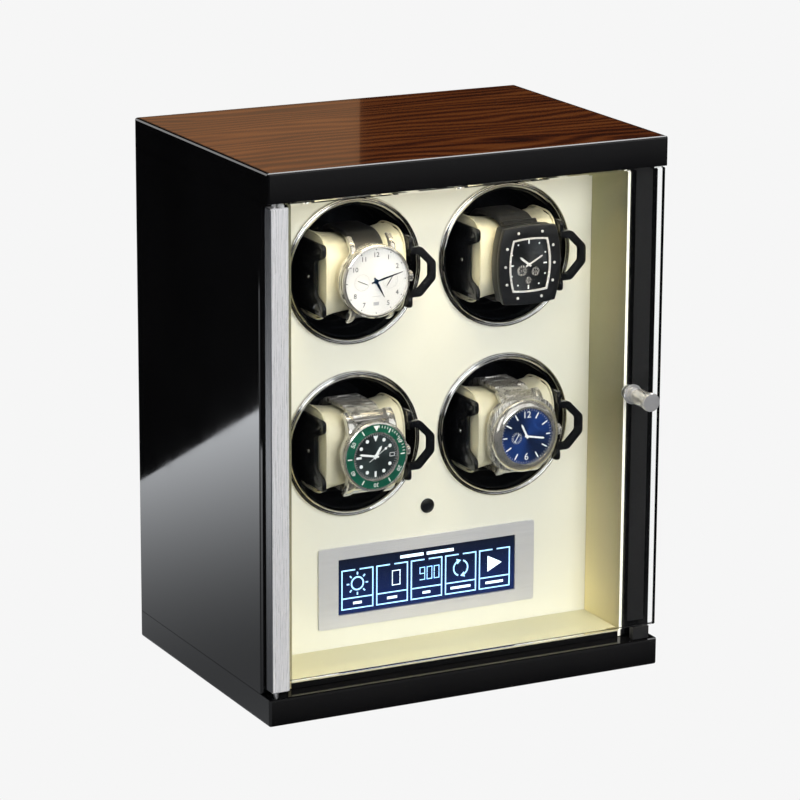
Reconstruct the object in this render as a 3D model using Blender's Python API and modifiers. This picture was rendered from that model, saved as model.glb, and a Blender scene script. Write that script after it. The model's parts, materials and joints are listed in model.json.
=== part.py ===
"""Watch winder cabinet with four places and a glass door, modelled in metres with +Z up.

X runs to the right, Y to the back. The origin lies on the surface that the cabinet stands on, in
the middle of the box that holds the whole object, knob included. Depths are counted backwards
from the front faces of the top and base boards, heights upwards from the base board's underside.
Each winder place is modelled in a frame of its own on the rotor's axis: X right, Y up, and Z
towards the viewer, counted from the front panel's face.
"""

import math

import bmesh
import bpy
from mathutils import Matrix, Vector

# ---- driving dimensions -------------------------------------------------------------------------
WIDTH = 0.248
DEPTH = 0.180
HEIGHT = 0.312
TOP_THICK = 0.0172
BASE_THICK = 0.0158
RISER_TOP = 0.0190
SIDE_THICK = 0.017
GAP = 0.0003
EDGE_ROUND = 0.0013
FOOT_HEIGHT = 0.0015
KNOB_REACH = 0.022

SIDE_FRONT = 0.011
LINING_FRONT = 0.0125
LINING_THICK = 0.0018
PANEL_FRONT = 0.053
PANEL_THICK = 0.005
MOTOR_BOARD_FRONT = 0.104
MOTOR_BOARD_THICK = 0.004
REAR_PANEL_THICK = 0.006

CUP_PITCH_X = 0.096
CUP_HEIGHTS = (0.2411, 0.1411)
CUP_HOLE_R = 0.0402
RING_R = 0.0425
GEAR_MODULE = 0.0015
GEAR_TEETH = 28
PINION_TEETH = 10
SHAFT_R = 0.004
MOTOR_SHAFT_R = 0.0015

GLASS_FRONT = 0.002
GLASS_THICK = 0.005
GLASS_LOW = 0.0240
GLASS_HIGH = 0.2944
STILE_WIDTH = 0.011
STILE_DEPTH = 0.0076
PIN_R = 0.0015
PIN_HOLE_R = 0.0018
PIN_INSET = 0.0060
PIN_DEPTH = 0.0045
KNOB_INSET = 0.0190
KNOB_HEIGHT = 0.1641
SCREW_R = 0.0017

LCD_WIDTH = 0.139
LCD_TALL = 0.048
SCREEN_WIDTH = 0.114
SCREEN_TALL = 0.033
LCD_HEIGHT = 0.0571
SENSOR_HEIGHT = 0.0984

JACK_X = 0.070
JACK_HEIGHT = 0.045

# ---- derived places -----------------------------------------------------------------------------
BASE_Z = FOOT_HEIGHT + GAP
FRONT_Y = KNOB_REACH - GLASS_FRONT - (DEPTH + KNOB_REACH - GLASS_FRONT) / 2
OUTER_X = WIDTH / 2
INNER_X = OUTER_X - SIDE_THICK
LINING_X = INNER_X - GAP
LINING_INNER_X = LINING_X - LINING_THICK
PANEL_Y = FRONT_Y + PANEL_FRONT
PIN_X = -OUTER_X + PIN_INSET
PIN_Y = FRONT_Y + PIN_DEPTH
KNOB_X = OUTER_X - KNOB_INSET
MOTOR_DROP = GEAR_MODULE * (GEAR_TEETH + PINION_TEETH) / 2

CUPS = [
    (name, side * CUP_PITCH_X / 2, height)
    for name, side, height in (
        ("upper_left", -1, CUP_HEIGHTS[0]),
        ("upper_right", 1, CUP_HEIGHTS[0]),
        ("lower_left", -1, CUP_HEIGHTS[1]),
        ("lower_right", 1, CUP_HEIGHTS[1]),
    )
]

TOWARDS_VIEWER = Matrix.Rotation(math.radians(90), 4, "X")
TOWARDS_BACK = Matrix.Rotation(math.radians(-90), 4, "X")
SIDEWAYS = Matrix.Rotation(math.radians(-90), 4, "Y")


# ---- scene helpers ------------------------------------------------------------------------------
def clear_scene():
    for obj in list(bpy.data.objects):
        bpy.data.objects.remove(obj, do_unlink=True)


def new_collection(name):
    group = bpy.data.collections.new(name)
    bpy.context.scene.collection.children.link(group)
    return group


def material(name, colour, roughness, metallic=0.0, alpha=1.0):
    made = bpy.data.materials.new(name)
    made.use_nodes = True
    shader = made.node_tree.nodes["Principled BSDF"]
    shader.inputs["Base Color"].default_value = (*colour, 1.0)
    shader.inputs["Roughness"].default_value = roughness
    shader.inputs["Metallic"].default_value = metallic
    shader.inputs["Alpha"].default_value = alpha
    made.diffuse_color = (*colour, alpha)
    return made


def from_front(depth):
    return FRONT_Y + depth


def from_base(height):
    return BASE_Z + height


def mesh_object(name, mesh, finish, group=None):
    obj = bpy.data.objects.new(name, mesh)
    (group or PARTS).objects.link(obj)
    if finish is not None and not mesh.materials:
        mesh.materials.append(finish)
    return obj


def as_cutter(obj):
    obj.hide_render = True
    obj.display_type = "WIRE"
    return obj


def bmesh_to_mesh(name, bm):
    bmesh.ops.recalc_face_normals(bm, faces=bm.faces)
    mesh = bpy.data.meshes.new(name)
    bm.to_mesh(mesh)
    bm.free()
    return mesh


def box_mesh(name, low, high):
    """A box between two corners."""
    bm = bmesh.new()
    bmesh.ops.create_cube(bm, size=1.0)
    low = Vector(low)
    size = Vector(high) - low
    for vert in bm.verts:
        vert.co = Vector(low[i] + (vert.co[i] + 0.5) * size[i] for i in range(3))
    return bmesh_to_mesh(name, bm)


def rod_mesh(name, radius, low, high, steps=16):
    """A round bar along Z between two heights."""
    bm = bmesh.new()
    place = Matrix.Translation((0, 0, (low + high) / 2))
    bmesh.ops.create_cone(
        bm, cap_ends=True, segments=steps, radius1=radius, radius2=radius, depth=high - low, matrix=place
    )
    return bmesh_to_mesh(name, bm)


def smooth(mesh, angle=35):
    mesh.shade_smooth()
    mesh.set_sharp_from_angle(angle=math.radians(angle))


def bake(obj, name):
    """Makes a plain mesh from an object with its modifiers, and removes the object."""
    view = bpy.context.evaluated_depsgraph_get()
    mesh = bpy.data.meshes.new_from_object(obj.evaluated_get(view))
    mesh.name = name
    bpy.data.objects.remove(obj, do_unlink=True)
    bm = bmesh.new()
    bm.from_mesh(mesh)
    bmesh.ops.remove_doubles(bm, verts=bm.verts, dist=0.000001)
    bm.to_mesh(mesh)
    bm.free()
    return mesh


def plate_mesh(name, outline, low, high, holes=()):
    """A flat plate with a straight-sided outline in XY, between two heights."""
    curve = bpy.data.curves.new(name, "CURVE")
    curve.dimensions = "2D"
    curve.fill_mode = "BOTH"
    curve.extrude = (high - low) / 2
    for points in (outline, *holes):
        spline = curve.splines.new("POLY")
        spline.points.add(len(points) - 1)
        for point, (x, y) in zip(spline.points, points):
            point.co = (x, y, 0, 1)
        spline.use_cyclic_u = True
    obj = bpy.data.objects.new(name, curve)
    WORK.objects.link(obj)
    mesh = bake(obj, name)
    mesh.transform(Matrix.Translation((0, 0, (low + high) / 2)))
    return mesh


def turned_mesh(name, profile, steps=28, closed=False):
    """A shape turned about Z from a profile of (radius, height) points."""
    bm = bmesh.new()
    verts = [bm.verts.new((radius, 0, height)) for radius, height in profile]
    for first, second in zip(verts, verts[1:]):
        bm.edges.new((first, second))
    if closed:
        bm.edges.new((verts[-1], verts[0]))
    mesh = bpy.data.meshes.new(name)
    bm.to_mesh(mesh)
    bm.free()
    obj = bpy.data.objects.new(name, mesh)
    WORK.objects.link(obj)
    screw = obj.modifiers.new("Turn", "SCREW")
    screw.steps = steps
    screw.render_steps = steps
    screw.use_merge_vertices = True
    screw.merge_threshold = 0.00001
    baked = bake(obj, name)
    smooth(baked)
    return baked


def boolean(obj, mesh, operation="DIFFERENCE", place=None):
    """Cuts a shape out of an object, or joins it on."""
    tool = as_cutter(mesh_object(obj.name + "_tool", mesh, None, CUTTERS))
    if place is not None:
        tool.matrix_world = place
    step = obj.modifiers.new(operation.title(), "BOOLEAN")
    step.operation = operation
    step.object = tool
    return obj


def built(name, mesh, steps):
    """One plain mesh from a first shape and a list of (operation, mesh) steps."""
    obj = bpy.data.objects.new(name, mesh)
    WORK.objects.link(obj)
    tools = []
    for operation, other in steps:
        tool = bpy.data.objects.new(name + "_tool", other)
        WORK.objects.link(tool)
        tools.append(tool)
        step = obj.modifiers.new(operation.title(), "BOOLEAN")
        step.operation = operation
        step.object = tool
    result = bake(obj, name)
    for tool in tools:
        bpy.data.objects.remove(tool, do_unlink=True)
    smooth(result)
    return result


def rounded(obj, width, segments=2):
    step = obj.modifiers.new("Round", "BEVEL")
    step.width = width
    step.segments = segments
    step.limit_method = "ANGLE"
    step.angle_limit = math.radians(50)
    return obj


def round_open_edges(obj, seams):
    """Rounds a box's edges, all but the side and rear ones that lie at the given heights."""
    mesh = obj.data
    weights = mesh.attributes.new("bevel_weight_edge", "FLOAT", "EDGE")
    front = min(vert.co.y for vert in mesh.vertices)
    for edge in mesh.edges:
        ends = [mesh.vertices[index].co for index in edge.vertices]
        middle = (ends[0] + ends[1]) / 2
        in_seam = any(abs(middle.z - seam) < GAP for seam in seams)
        at_front = middle.y - front < GAP
        weights.data[edge.index].value = 0.0 if in_seam and not at_front else 1.0
    step = rounded(obj, EDGE_ROUND).modifiers["Round"]
    step.limit_method = "WEIGHT"


def board(name, x_span, depth_span, height_span, finish, seams=None):
    """A cabinet board, placed by its spans in X, depth and height.

    With seams given, its edges are rounded, but the ones at those heights stay square, where
    another board meets it flush; along the front they are rounded as well.
    """
    low = (x_span[0], from_front(depth_span[0]), from_base(height_span[0]))
    high = (x_span[1], from_front(depth_span[1]), from_base(height_span[1]))
    centre = (Vector(low) + Vector(high)) / 2
    mesh = box_mesh(name, Vector(low) - centre, Vector(high) - centre)
    obj = mesh_object(name, mesh, finish)
    obj.location = centre
    if seams is not None:
        round_open_edges(obj, [from_base(seam) - centre.z for seam in seams])
    return obj


def empty(name, location, turn):
    obj = bpy.data.objects.new(name, None)
    PARTS.objects.link(obj)
    obj.location = location
    obj.rotation_euler = turn.to_euler()
    return obj


def hang(name, mesh, finish, parent):
    """An object that keeps its mesh's place in its parent's frame."""
    obj = mesh_object(name, mesh, finish)
    obj.parent = parent
    return obj


# ---- outlines -----------------------------------------------------------------------------------
def gear_outline(teeth, module, turn):
    """Four points a tooth, trimmed at the flanks so that meshed teeth keep a gap."""
    pitch_r = module * teeth / 2
    tip_r = pitch_r + 0.9 * module
    root_r = pitch_r - 1.2 * module
    step = 2 * math.pi / teeth
    points = []
    for tooth in range(teeth):
        middle = turn + tooth * step
        for share, radius in ((-0.30, root_r), (-0.11, tip_r), (0.11, tip_r), (0.30, root_r)):
            angle = middle + share * step
            points.append((radius * math.cos(angle), radius * math.sin(angle)))
    return points


def rounded_outline(x_low, x_high, y_half, radius, steps=4):
    """A rectangle with round corners, symmetric about the X axis."""
    points = []
    corners = (
        (x_high - radius, y_half - radius, 0),
        (x_low + radius, y_half - radius, 90),
        (x_low + radius, radius - y_half, 180),
        (x_high - radius, radius - y_half, 270),
    )
    for x, y, start in corners:
        for step in range(steps + 1):
            angle = math.radians(start + 90 * step / steps)
            points.append((x + radius * math.cos(angle), y + radius * math.sin(angle)))
    return points


def both_halves(half):
    """Closes an outline given for Y above zero with its mirror image."""
    return half + [(x, -y) for x, y in reversed(half)]


# ---- cabinet ------------------------------------------------------------------------------------
def make_cabinet():
    top_low = HEIGHT - TOP_THICK
    inlay_edge = 0.0019
    inlay_thick = 0.001
    pivot_depth = 0.007
    all_x = (-OUTER_X, OUTER_X)
    all_depth = (0, DEPTH)

    top = board("top_board", all_x, all_depth, (top_low, HEIGHT), LACQUER, [top_low])
    pocket = box_mesh(
        "inlay_pocket",
        (-OUTER_X + inlay_edge, from_front(inlay_edge), from_base(HEIGHT - inlay_thick - GAP)),
        (OUTER_X - inlay_edge, from_front(DEPTH - inlay_edge), from_base(HEIGHT + inlay_thick)),
    )
    boolean(top, pocket)
    pin_hole = rod_mesh("upper_pivot_hole", PIN_HOLE_R, -pivot_depth, pivot_depth)
    boolean(top, pin_hole, place=Matrix.Translation((PIN_X, PIN_Y, from_base(top_low))))
    inlay_x = OUTER_X - inlay_edge - GAP
    board(
        "walnut_top_panel",
        (-inlay_x, inlay_x),
        (inlay_edge + GAP, DEPTH - inlay_edge - GAP),
        (HEIGHT - inlay_thick, HEIGHT),
        WALNUT,
    )

    base = board("base_board", all_x, all_depth, (0, BASE_THICK), LACQUER, [BASE_THICK])
    pin_hole = rod_mesh("lower_pivot_hole", PIN_HOLE_R, -pivot_depth, pivot_depth)
    boolean(base, pin_hole, place=Matrix.Translation((PIN_X, PIN_Y, from_base(BASE_THICK))))

    inside = (BASE_THICK + GAP, top_low - GAP)
    side_depth = (SIDE_FRONT, DEPTH)
    side_seams = list(inside)
    board("left_side_panel", (-OUTER_X, -INNER_X), side_depth, inside, LACQUER, side_seams)
    board("right_side_panel", (INNER_X, OUTER_X), side_depth, inside, LACQUER, side_seams)

    lining_depth = (LINING_FRONT, PANEL_FRONT - GAP)
    board("lining_left", (-LINING_X, -LINING_INNER_X), lining_depth, inside, CREAM)
    board("lining_right", (LINING_INNER_X, LINING_X), lining_depth, inside, CREAM)
    between = (GAP - LINING_INNER_X, LINING_INNER_X - GAP)
    riser_span = (inside[0], RISER_TOP)
    riser_depth = (LINING_FRONT - 0.0005, PANEL_FRONT - GAP)
    board("floor_riser", between, riser_depth, riser_span, LACQUER)
    floor_span = (RISER_TOP + GAP, RISER_TOP + GAP + LINING_THICK)
    ceiling_span = (inside[1] - LINING_THICK, inside[1])
    board("lining_floor", between, lining_depth, floor_span, CREAM)
    board("lining_ceiling", between, lining_depth, ceiling_span, CREAM)

    light_drop = 0.001
    light_high = ceiling_span[0] - GAP
    board("led_strip", (-0.095, 0.095), (0.0135, 0.0215), (light_high - light_drop, light_high), DIFFUSER)

    make_front_panel(inside)
    make_motor_board(inside)
    make_rear_panel(inside)

    foot_r = 0.007
    foot_inset = 0.016
    foot_mesh = rod_mesh("foot", foot_r, 0, FOOT_HEIGHT, steps=20)
    for end, y in (("front", FRONT_Y + foot_inset), ("rear", FRONT_Y + DEPTH - foot_inset)):
        for side, x in (("left", foot_inset - OUTER_X), ("right", OUTER_X - foot_inset)):
            foot = mesh_object(f"foot_{end}_{side}", foot_mesh, RUBBER)
            foot.location = (x, y, 0)


def make_front_panel(inside):
    panel = board(
        "front_panel", (-LINING_X, LINING_X), (PANEL_FRONT, PANEL_FRONT + PANEL_THICK), inside, CREAM
    )
    reach = 0.010
    for name, x, height in CUPS:
        hole = rod_mesh(f"cup_hole_{name}", CUP_HOLE_R, -reach, reach, steps=36)
        boolean(panel, hole, place=Matrix.Translation((x, PANEL_Y, from_base(height))) @ TOWARDS_VIEWER)
    half_wide = SCREEN_WIDTH / 2 + 0.0004
    half_tall = SCREEN_TALL / 2 + 0.0004
    window = box_mesh("screen_hole", (-half_wide, -reach, -half_tall), (half_wide, reach, half_tall))
    boolean(panel, window, place=Matrix.Translation((0, PANEL_Y, from_base(LCD_HEIGHT))))
    sensor = rod_mesh("sensor_hole", 0.0038, -reach, reach)
    boolean(panel, sensor, place=Matrix.Translation((0, PANEL_Y, from_base(SENSOR_HEIGHT))) @ TOWARDS_VIEWER)


def make_motor_board(inside):
    """The board behind the rotors: it carries their shafts and the motors."""
    back = MOTOR_BOARD_FRONT + MOTOR_BOARD_THICK
    panel = board("motor_board", (-LINING_X, LINING_X), (MOTOR_BOARD_FRONT, back), inside, PLASTIC)
    reach = 0.010
    middle_y = from_front((MOTOR_BOARD_FRONT + back) / 2)
    for name, x, height in CUPS:
        for drop, radius in ((0, SHAFT_R + 0.0004), (MOTOR_DROP, MOTOR_SHAFT_R + 0.0008)):
            hole = rod_mesh(f"shaft_hole_{name}", radius, -reach, reach)
            spot = Matrix.Translation((x, middle_y, from_base(height - drop)))
            boolean(panel, hole, place=spot @ TOWARDS_VIEWER)


def make_rear_panel(inside):
    back = DEPTH - 0.0005
    panel = board("rear_panel", (-LINING_X, LINING_X), (back - REAR_PANEL_THICK, back), inside, LACQUER)
    reach = 0.010
    middle_y = from_front(back - REAR_PANEL_THICK / 2)
    slot_count = 5
    slot_pitch = 0.010
    for index in range(slot_count):
        slot = box_mesh("vent_slot", (-0.030, -reach, -0.0012), (0.030, reach, 0.0012))
        height = 0.225 + slot_pitch * (index - (slot_count - 1) / 2)
        boolean(panel, slot, place=Matrix.Translation((0, middle_y, from_base(height))))
    hole = rod_mesh("jack_hole", 0.0052, -reach, reach)
    boolean(panel, hole, place=Matrix.Translation((JACK_X, middle_y, from_base(JACK_HEIGHT))) @ TOWARDS_VIEWER)
    jack_axis = empty("jack_axis", (JACK_X, from_front(back), from_base(JACK_HEIGHT)), TOWARDS_BACK)
    profile = [
        (0, -0.002), (0.0009, -0.002), (0.0009, -0.009), (0.0028, -0.009), (0.0028, 0.0005),
        (0.0062, 0.0005), (0.0068, 0.0003), (0.0048, 0.0003), (0.0048, -0.013), (0, -0.013),
    ]
    hang("dc_jack", turned_mesh("dc_jack", profile, 20), PLASTIC, jack_axis)


# ---- door ---------------------------------------------------------------------------------------
def make_door():
    stile_left = -OUTER_X + 0.0018
    stile_right = stile_left + STILE_WIDTH
    glass_left = stile_right - 0.0042
    stile_front = PIN_DEPTH - STILE_DEPTH / 2
    stile_low = BASE_THICK + 0.0035
    stile_high = HEIGHT - TOP_THICK - 0.0023
    hinge = empty("door_hinge_axis", (PIN_X, PIN_Y, 0), Matrix.Identity(4))

    def door_board(name, x_span, depth_span, height_span, finish):
        obj = board(name, x_span, depth_span, height_span, finish)
        obj.parent = hinge
        obj.matrix_parent_inverse = Matrix.Translation((-PIN_X, -PIN_Y, 0))
        return obj

    stile = door_board(
        "door_hinge_stile",
        (stile_left, stile_right),
        (stile_front, stile_front + STILE_DEPTH),
        (stile_low, stile_high),
        ALUMINIUM,
    )
    groove_low = GLASS_LOW - GAP
    groove = box_mesh(
        "glass_groove",
        (glass_left - GAP, from_front(GLASS_FRONT - GAP), from_base(groove_low)),
        (stile_right + STILE_WIDTH, from_front(GLASS_FRONT + GLASS_THICK + GAP), from_base(GLASS_HIGH + GAP)),
    )
    rounded(stile, 0.0006, 1)
    boolean(stile, groove)
    pin_depth = 0.0065
    for height in (stile_low, stile_high):
        hole = rod_mesh("pivot_hole", PIN_HOLE_R, -pin_depth, pin_depth)
        boolean(stile, hole, place=Matrix.Translation((PIN_X, PIN_Y, from_base(height))))

    glass = door_board(
        "door_glass",
        (glass_left, OUTER_X - 0.0003),
        (GLASS_FRONT, GLASS_FRONT + GLASS_THICK),
        (GLASS_LOW, GLASS_HIGH - 0.0006),
        GLASS,
    )
    rounded(glass, 0.0005, 1)
    knob_spot = Matrix.Translation((KNOB_X, from_front(GLASS_FRONT), from_base(KNOB_HEIGHT)))
    boolean(glass, rod_mesh("knob_hole", SCREW_R + 0.0004, -0.010, 0.010), place=knob_spot @ TOWARDS_VIEWER)

    pin_reach = 0.006
    for name, middle in (
        ("lower_pivot_pin", (BASE_THICK + stile_low) / 2),
        ("upper_pivot_pin", (HEIGHT - TOP_THICK + stile_high) / 2),
    ):
        pin = mesh_object(name, rod_mesh(name, PIN_R, -pin_reach, pin_reach), STEEL)
        pin.location = (PIN_X, PIN_Y, from_base(middle))

    knob_axis = empty("knob_axis", (KNOB_X, from_front(GLASS_FRONT), from_base(KNOB_HEIGHT)), TOWARDS_VIEWER)
    knob_axis.parent = hinge
    knob_axis.matrix_parent_inverse = Matrix.Translation((-PIN_X, -PIN_Y, 0))
    bore_r = SCREW_R + GAP
    knob_profile = [
        (0, KNOB_REACH), (0.0048, KNOB_REACH), (0.0054, KNOB_REACH - 0.0006), (0.0054, KNOB_REACH - 0.003),
        (0.0048, KNOB_REACH - 0.0036), (0.0048, 0.0075), (0.0042, 0.0070), (0.0030, 0.0062),
        (0.0030, 0.0042), (0.0042, 0.0036), (0.0042, 0.0014), (0.0058, 0.0012), (0.0058, GAP),
        (bore_r, GAP), (bore_r, 0.0095), (0, 0.0095),
    ]
    hang("door_knob", turned_mesh("door_knob", knob_profile, 24), CHROME, knob_axis)
    head_front = -GLASS_THICK - GAP
    screw_profile = [
        (0, 0.0088), (SCREW_R, 0.0088), (SCREW_R, head_front), (0.0042, head_front),
        (0.0042, head_front - 0.0012), (0.0034, head_front - 0.0018), (0, head_front - 0.0018),
    ]
    hang("knob_screw", turned_mesh("knob_screw", screw_profile, 16), STEEL, knob_axis)

    board(
        "door_rest_strip",
        (INNER_X + 0.0022, INNER_X + 0.0127),
        (SIDE_FRONT - 0.0010, SIDE_FRONT - GAP),
        (0.0256, 0.2935),
        FELT,
    )
    board(
        "door_catch_magnet",
        (INNER_X + 0.0022, INNER_X + 0.0127),
        (0.0025, 0.0065),
        (BASE_THICK + GAP, GLASS_LOW - 0.0007),
        PLASTIC,
    )


# ---- controls -----------------------------------------------------------------------------------
def make_controls():
    lcd_axis = empty("lcd_axis", (0, PANEL_Y, from_base(LCD_HEIGHT)), TOWARDS_VIEWER)
    outer = rounded_outline(-LCD_WIDTH / 2, LCD_WIDTH / 2, LCD_TALL / 2, 0.0012, 2)
    wide = SCREEN_WIDTH / 2 + 0.0001
    tall = SCREEN_TALL / 2 + 0.0001
    window = [(-wide, -tall), (-wide, tall), (wide, tall), (wide, -tall)]
    hang("lcd_bezel", plate_mesh("lcd_bezel", outer, GAP, 0.0016, [window]), ALUMINIUM, lcd_axis)
    wide -= GAP
    tall -= GAP
    screen = box_mesh("lcd_screen", (-wide, -tall, -0.0080), (wide, tall, 0.0010))
    hang("lcd_screen", screen, SCREEN, lcd_axis)
    circuit = box_mesh("control_board", (-0.060, -0.019, -0.0105), (0.060, 0.019, -0.0088))
    hang("control_board", circuit, CIRCUIT, lcd_axis)

    sensor_axis = empty("sensor_axis", (0, PANEL_Y, from_base(SENSOR_HEIGHT)), TOWARDS_VIEWER)
    profile = [
        (0, 0.0006), (0.0022, 0.0009), (0.0030, 0.0013), (0.0038, 0.0013), (0.0043, 0.0008),
        (0.0043, GAP), (0.0034, GAP), (0.0034, -0.0070), (0, -0.0070),
    ]
    hang("remote_sensor", turned_mesh("remote_sensor", profile, 20), PLASTIC, sensor_axis)


# ---- winder places ------------------------------------------------------------------------------
GEAR_FRONT = -0.0415
GEAR_BACK = -0.0470
BOWL_FLOOR = -0.0370
SOCKET_HALF = (0.0080, 0.0060)
SOCKET_DEPTH = 0.0080
PLATE_INNER_X = 0.0253
PLATE_OUTER_X = 0.0280
PILLOW_HALF_X = 0.0250


def ring_mesh():
    inner_r = 0.0388
    collar_r = 0.0397
    profile = [
        (inner_r + 0.0008, 0.0024), (RING_R - 0.0010, 0.0024), (RING_R, 0.0014), (RING_R, GAP),
        (collar_r, GAP), (collar_r, -0.0065), (inner_r, -0.0065), (inner_r, 0.0016),
    ]
    return turned_mesh("trim_ring", profile, 28, closed=True)


def rotor_mesh():
    """The black bowl with its hub, gear and shaft, moulded in one piece."""
    hub_r = 0.0120
    profile = [
        (0, BOWL_FLOOR), (0.0265, BOWL_FLOOR), (0.0325, -0.0330), (0.0358, -0.0210), (0.0370, -0.0010),
        (0.0378, 0.0006), (0.0382, -0.0004), (0.0382, -0.0070), (0.0372, -0.0225), (0.0340, -0.0345),
        (0.0275, -0.0390), (hub_r, -0.0390), (hub_r, GEAR_BACK), (SHAFT_R, GEAR_BACK),
        (SHAFT_R, -0.0610), (0, -0.0610),
    ]
    bowl = turned_mesh("rotor", profile, 24)
    outline = gear_outline(GEAR_TEETH, GEAR_MODULE, math.radians(-90))
    gear = plate_mesh("rotor_gear", outline, GEAR_BACK + 0.0005, GEAR_FRONT)
    half_x, half_y = SOCKET_HALF
    socket = box_mesh(
        "holder_socket", (-half_x, -half_y, BOWL_FLOOR - SOCKET_DEPTH), (half_x, half_y, BOWL_FLOOR + 0.010)
    )
    return built("rotor", bowl, [("UNION", gear), ("DIFFERENCE", socket)])


def pinion_mesh():
    """The motor's pinion on its shaft, about the motor's axis."""
    facing_rotor = math.radians(90) + math.pi / PINION_TEETH
    outline = gear_outline(PINION_TEETH, GEAR_MODULE, facing_rotor)
    gear = plate_mesh("pinion", outline, GEAR_BACK + 0.0008, GEAR_FRONT - 0.0003)
    shaft = rod_mesh("pinion_shaft", MOTOR_SHAFT_R, -0.0610, GEAR_FRONT, 12)
    return built("pinion", gear, [("UNION", shaft)])


def motor_mesh():
    front = PANEL_FRONT - MOTOR_BOARD_FRONT - MOTOR_BOARD_THICK - GAP
    bore_r = MOTOR_SHAFT_R + 0.0006
    can_r = 0.0120
    back = front - 0.0290
    profile = [
        (0, front - 0.0070), (bore_r, front - 0.0070), (bore_r, front), (can_r - 0.0010, front),
        (can_r, front - 0.0010), (can_r, back + 0.0010), (can_r - 0.0010, back), (0.0050, back),
        (0.0050, back - 0.0020), (0, back - 0.0020),
    ]
    return turned_mesh("motor", profile, 20)


def holder_mesh():
    """Two end plates on a cross bar, the plug behind it, and the finger loop on the right plate."""
    half_plate = [
        (-0.0320, 0.0090), (-0.0240, 0.0090), (-0.0180, 0.0205), (0.0200, 0.0205), (0.0200, 0.0135),
        (0.0095, 0.0095),
    ]
    outline = both_halves(half_plate)
    plates = []
    for name, low, high in (("left", -PLATE_OUTER_X, -PLATE_INNER_X), ("right", PLATE_INNER_X, PLATE_OUTER_X)):
        plate = plate_mesh(f"end_plate_{name}", outline, -high, -low)
        plate.transform(SIDEWAYS)
        plates.append(plate)
    bar = box_mesh("cross_bar", (-0.0270, -0.0080, -0.0322), (0.0270, 0.0080, -0.0282))
    play = 0.0004
    half_x, half_y = SOCKET_HALF
    plug = box_mesh(
        "plug", (play - half_x, play - half_y, BOWL_FLOOR - 0.0074), (half_x - play, half_y - play, -0.0300)
    )
    half_loop = [(0.0262, 0.0143), (0.0335, 0.0143), (0.0425, 0.0050)]
    half_inner = [(0.0262, 0.0103), (0.0318, 0.0103), (0.0385, 0.0035)]
    loop_outline = both_halves(half_loop) + list(reversed(both_halves(half_inner)))
    loop = plate_mesh("finger_loop", loop_outline, 0.0160, 0.0195)
    return built(
        "watch_holder", bar, [("UNION", plates[0]), ("UNION", plates[1]), ("UNION", plug), ("UNION", loop)]
    )


def pillow_mesh():
    """A saddle: low in the middle, where the strap goes round, with flared ends."""
    stations = 6
    ring = rounded_outline(-1.0, 1.0, 1.0, 0.62, 3)
    bm = bmesh.new()
    rows = []
    for index in range(stations + 1):
        share = 2 * index / stations - 1
        flare = share * share
        half_up = 0.0212 + 0.0033 * flare
        front = 0.0190 - 0.0015 * flare
        back = -0.0232 + 0.0020 * flare
        middle = (front + back) / 2
        half_deep = (front - back) / 2
        x = share * (PILLOW_HALF_X - 0.0002)
        rows.append([bm.verts.new((x, up * half_up, middle + deep * half_deep)) for deep, up in ring])
    count = len(ring)
    for left, right in zip(rows, rows[1:]):
        for i in range(count):
            bm.faces.new((left[i], left[(i + 1) % count], right[(i + 1) % count], right[i]))
    bm.faces.new(rows[0])
    bm.faces.new(rows[-1])
    mesh = bmesh_to_mesh("pillow", bm)
    smooth(mesh, 50)
    return mesh


def watch_mesh(name, case_outline, crown_reach):
    """A watch with its strap closed: the case, the crown and the strap as one loop."""
    case_back = 0.0200
    case_front = 0.0312
    case = plate_mesh(name, case_outline, case_back, case_front)
    strap_thick = 0.0026
    inner = rounded_outline(-0.0240, 0.0196, 0.0226, 0.0145, 5)
    outer = rounded_outline(-0.0240 - strap_thick, 0.0225, 0.0226 + strap_thick, 0.0160, 5)
    strap = plate_mesh("strap", outer, -0.0100, 0.0100, [inner])
    strap.transform(SIDEWAYS)
    crown = rod_mesh("crown", 0.0030, 0.0150, crown_reach, 12)
    crown.transform(Matrix.Translation((0, 0, 0.0255)) @ Matrix.Rotation(math.radians(90), 4, "Y"))
    return built(name, case, [("UNION", strap), ("UNION", crown)])


def round_case(radius):
    steps = 32
    return [
        (radius * math.cos(2 * math.pi * i / steps), radius * math.sin(2 * math.pi * i / steps))
        for i in range(steps)
    ]


def make_winders():
    ring = ring_mesh()
    rotor = rotor_mesh()
    pinion = pinion_mesh()
    motor = motor_mesh()
    holder = holder_mesh()
    pillow = pillow_mesh()
    watches = {
        "upper_left": watch_mesh("dress_watch", round_case(0.0208), 0.0240),
        "upper_right": watch_mesh("tonneau_watch", rounded_outline(-0.0195, 0.0195, 0.0240, 0.0080, 3), 0.0225),
        "lower_left": watch_mesh("diver_watch", round_case(0.0203), 0.0240),
        "lower_right": watch_mesh("cushion_watch", round_case(0.0220), 0.0250),
    }
    for name, x, height in CUPS:
        axis = empty(f"cup_axis_{name}", (x, PANEL_Y, from_base(height)), TOWARDS_VIEWER)
        motor_axis = empty(f"motor_axis_{name}", (x, PANEL_Y, from_base(height - MOTOR_DROP)), TOWARDS_VIEWER)
        hang(f"trim_ring_{name}", ring, CHROME, axis)
        hang(f"rotor_{name}", rotor, GLOSS_PLASTIC, axis)
        hang(f"watch_holder_{name}", holder, GLOSS_PLASTIC, axis)
        hang(f"pillow_{name}", pillow, LEATHER, axis)
        hang(f"watch_{name}", watches[name], STEEL, axis)
        hang(f"motor_pinion_{name}", pinion, NYLON, motor_axis)
        hang(f"gear_motor_{name}", motor, STEEL, motor_axis)


clear_scene()
PARTS = new_collection("watch_winder")
CUTTERS = new_collection("cutters")
WORK = new_collection("work")

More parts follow.
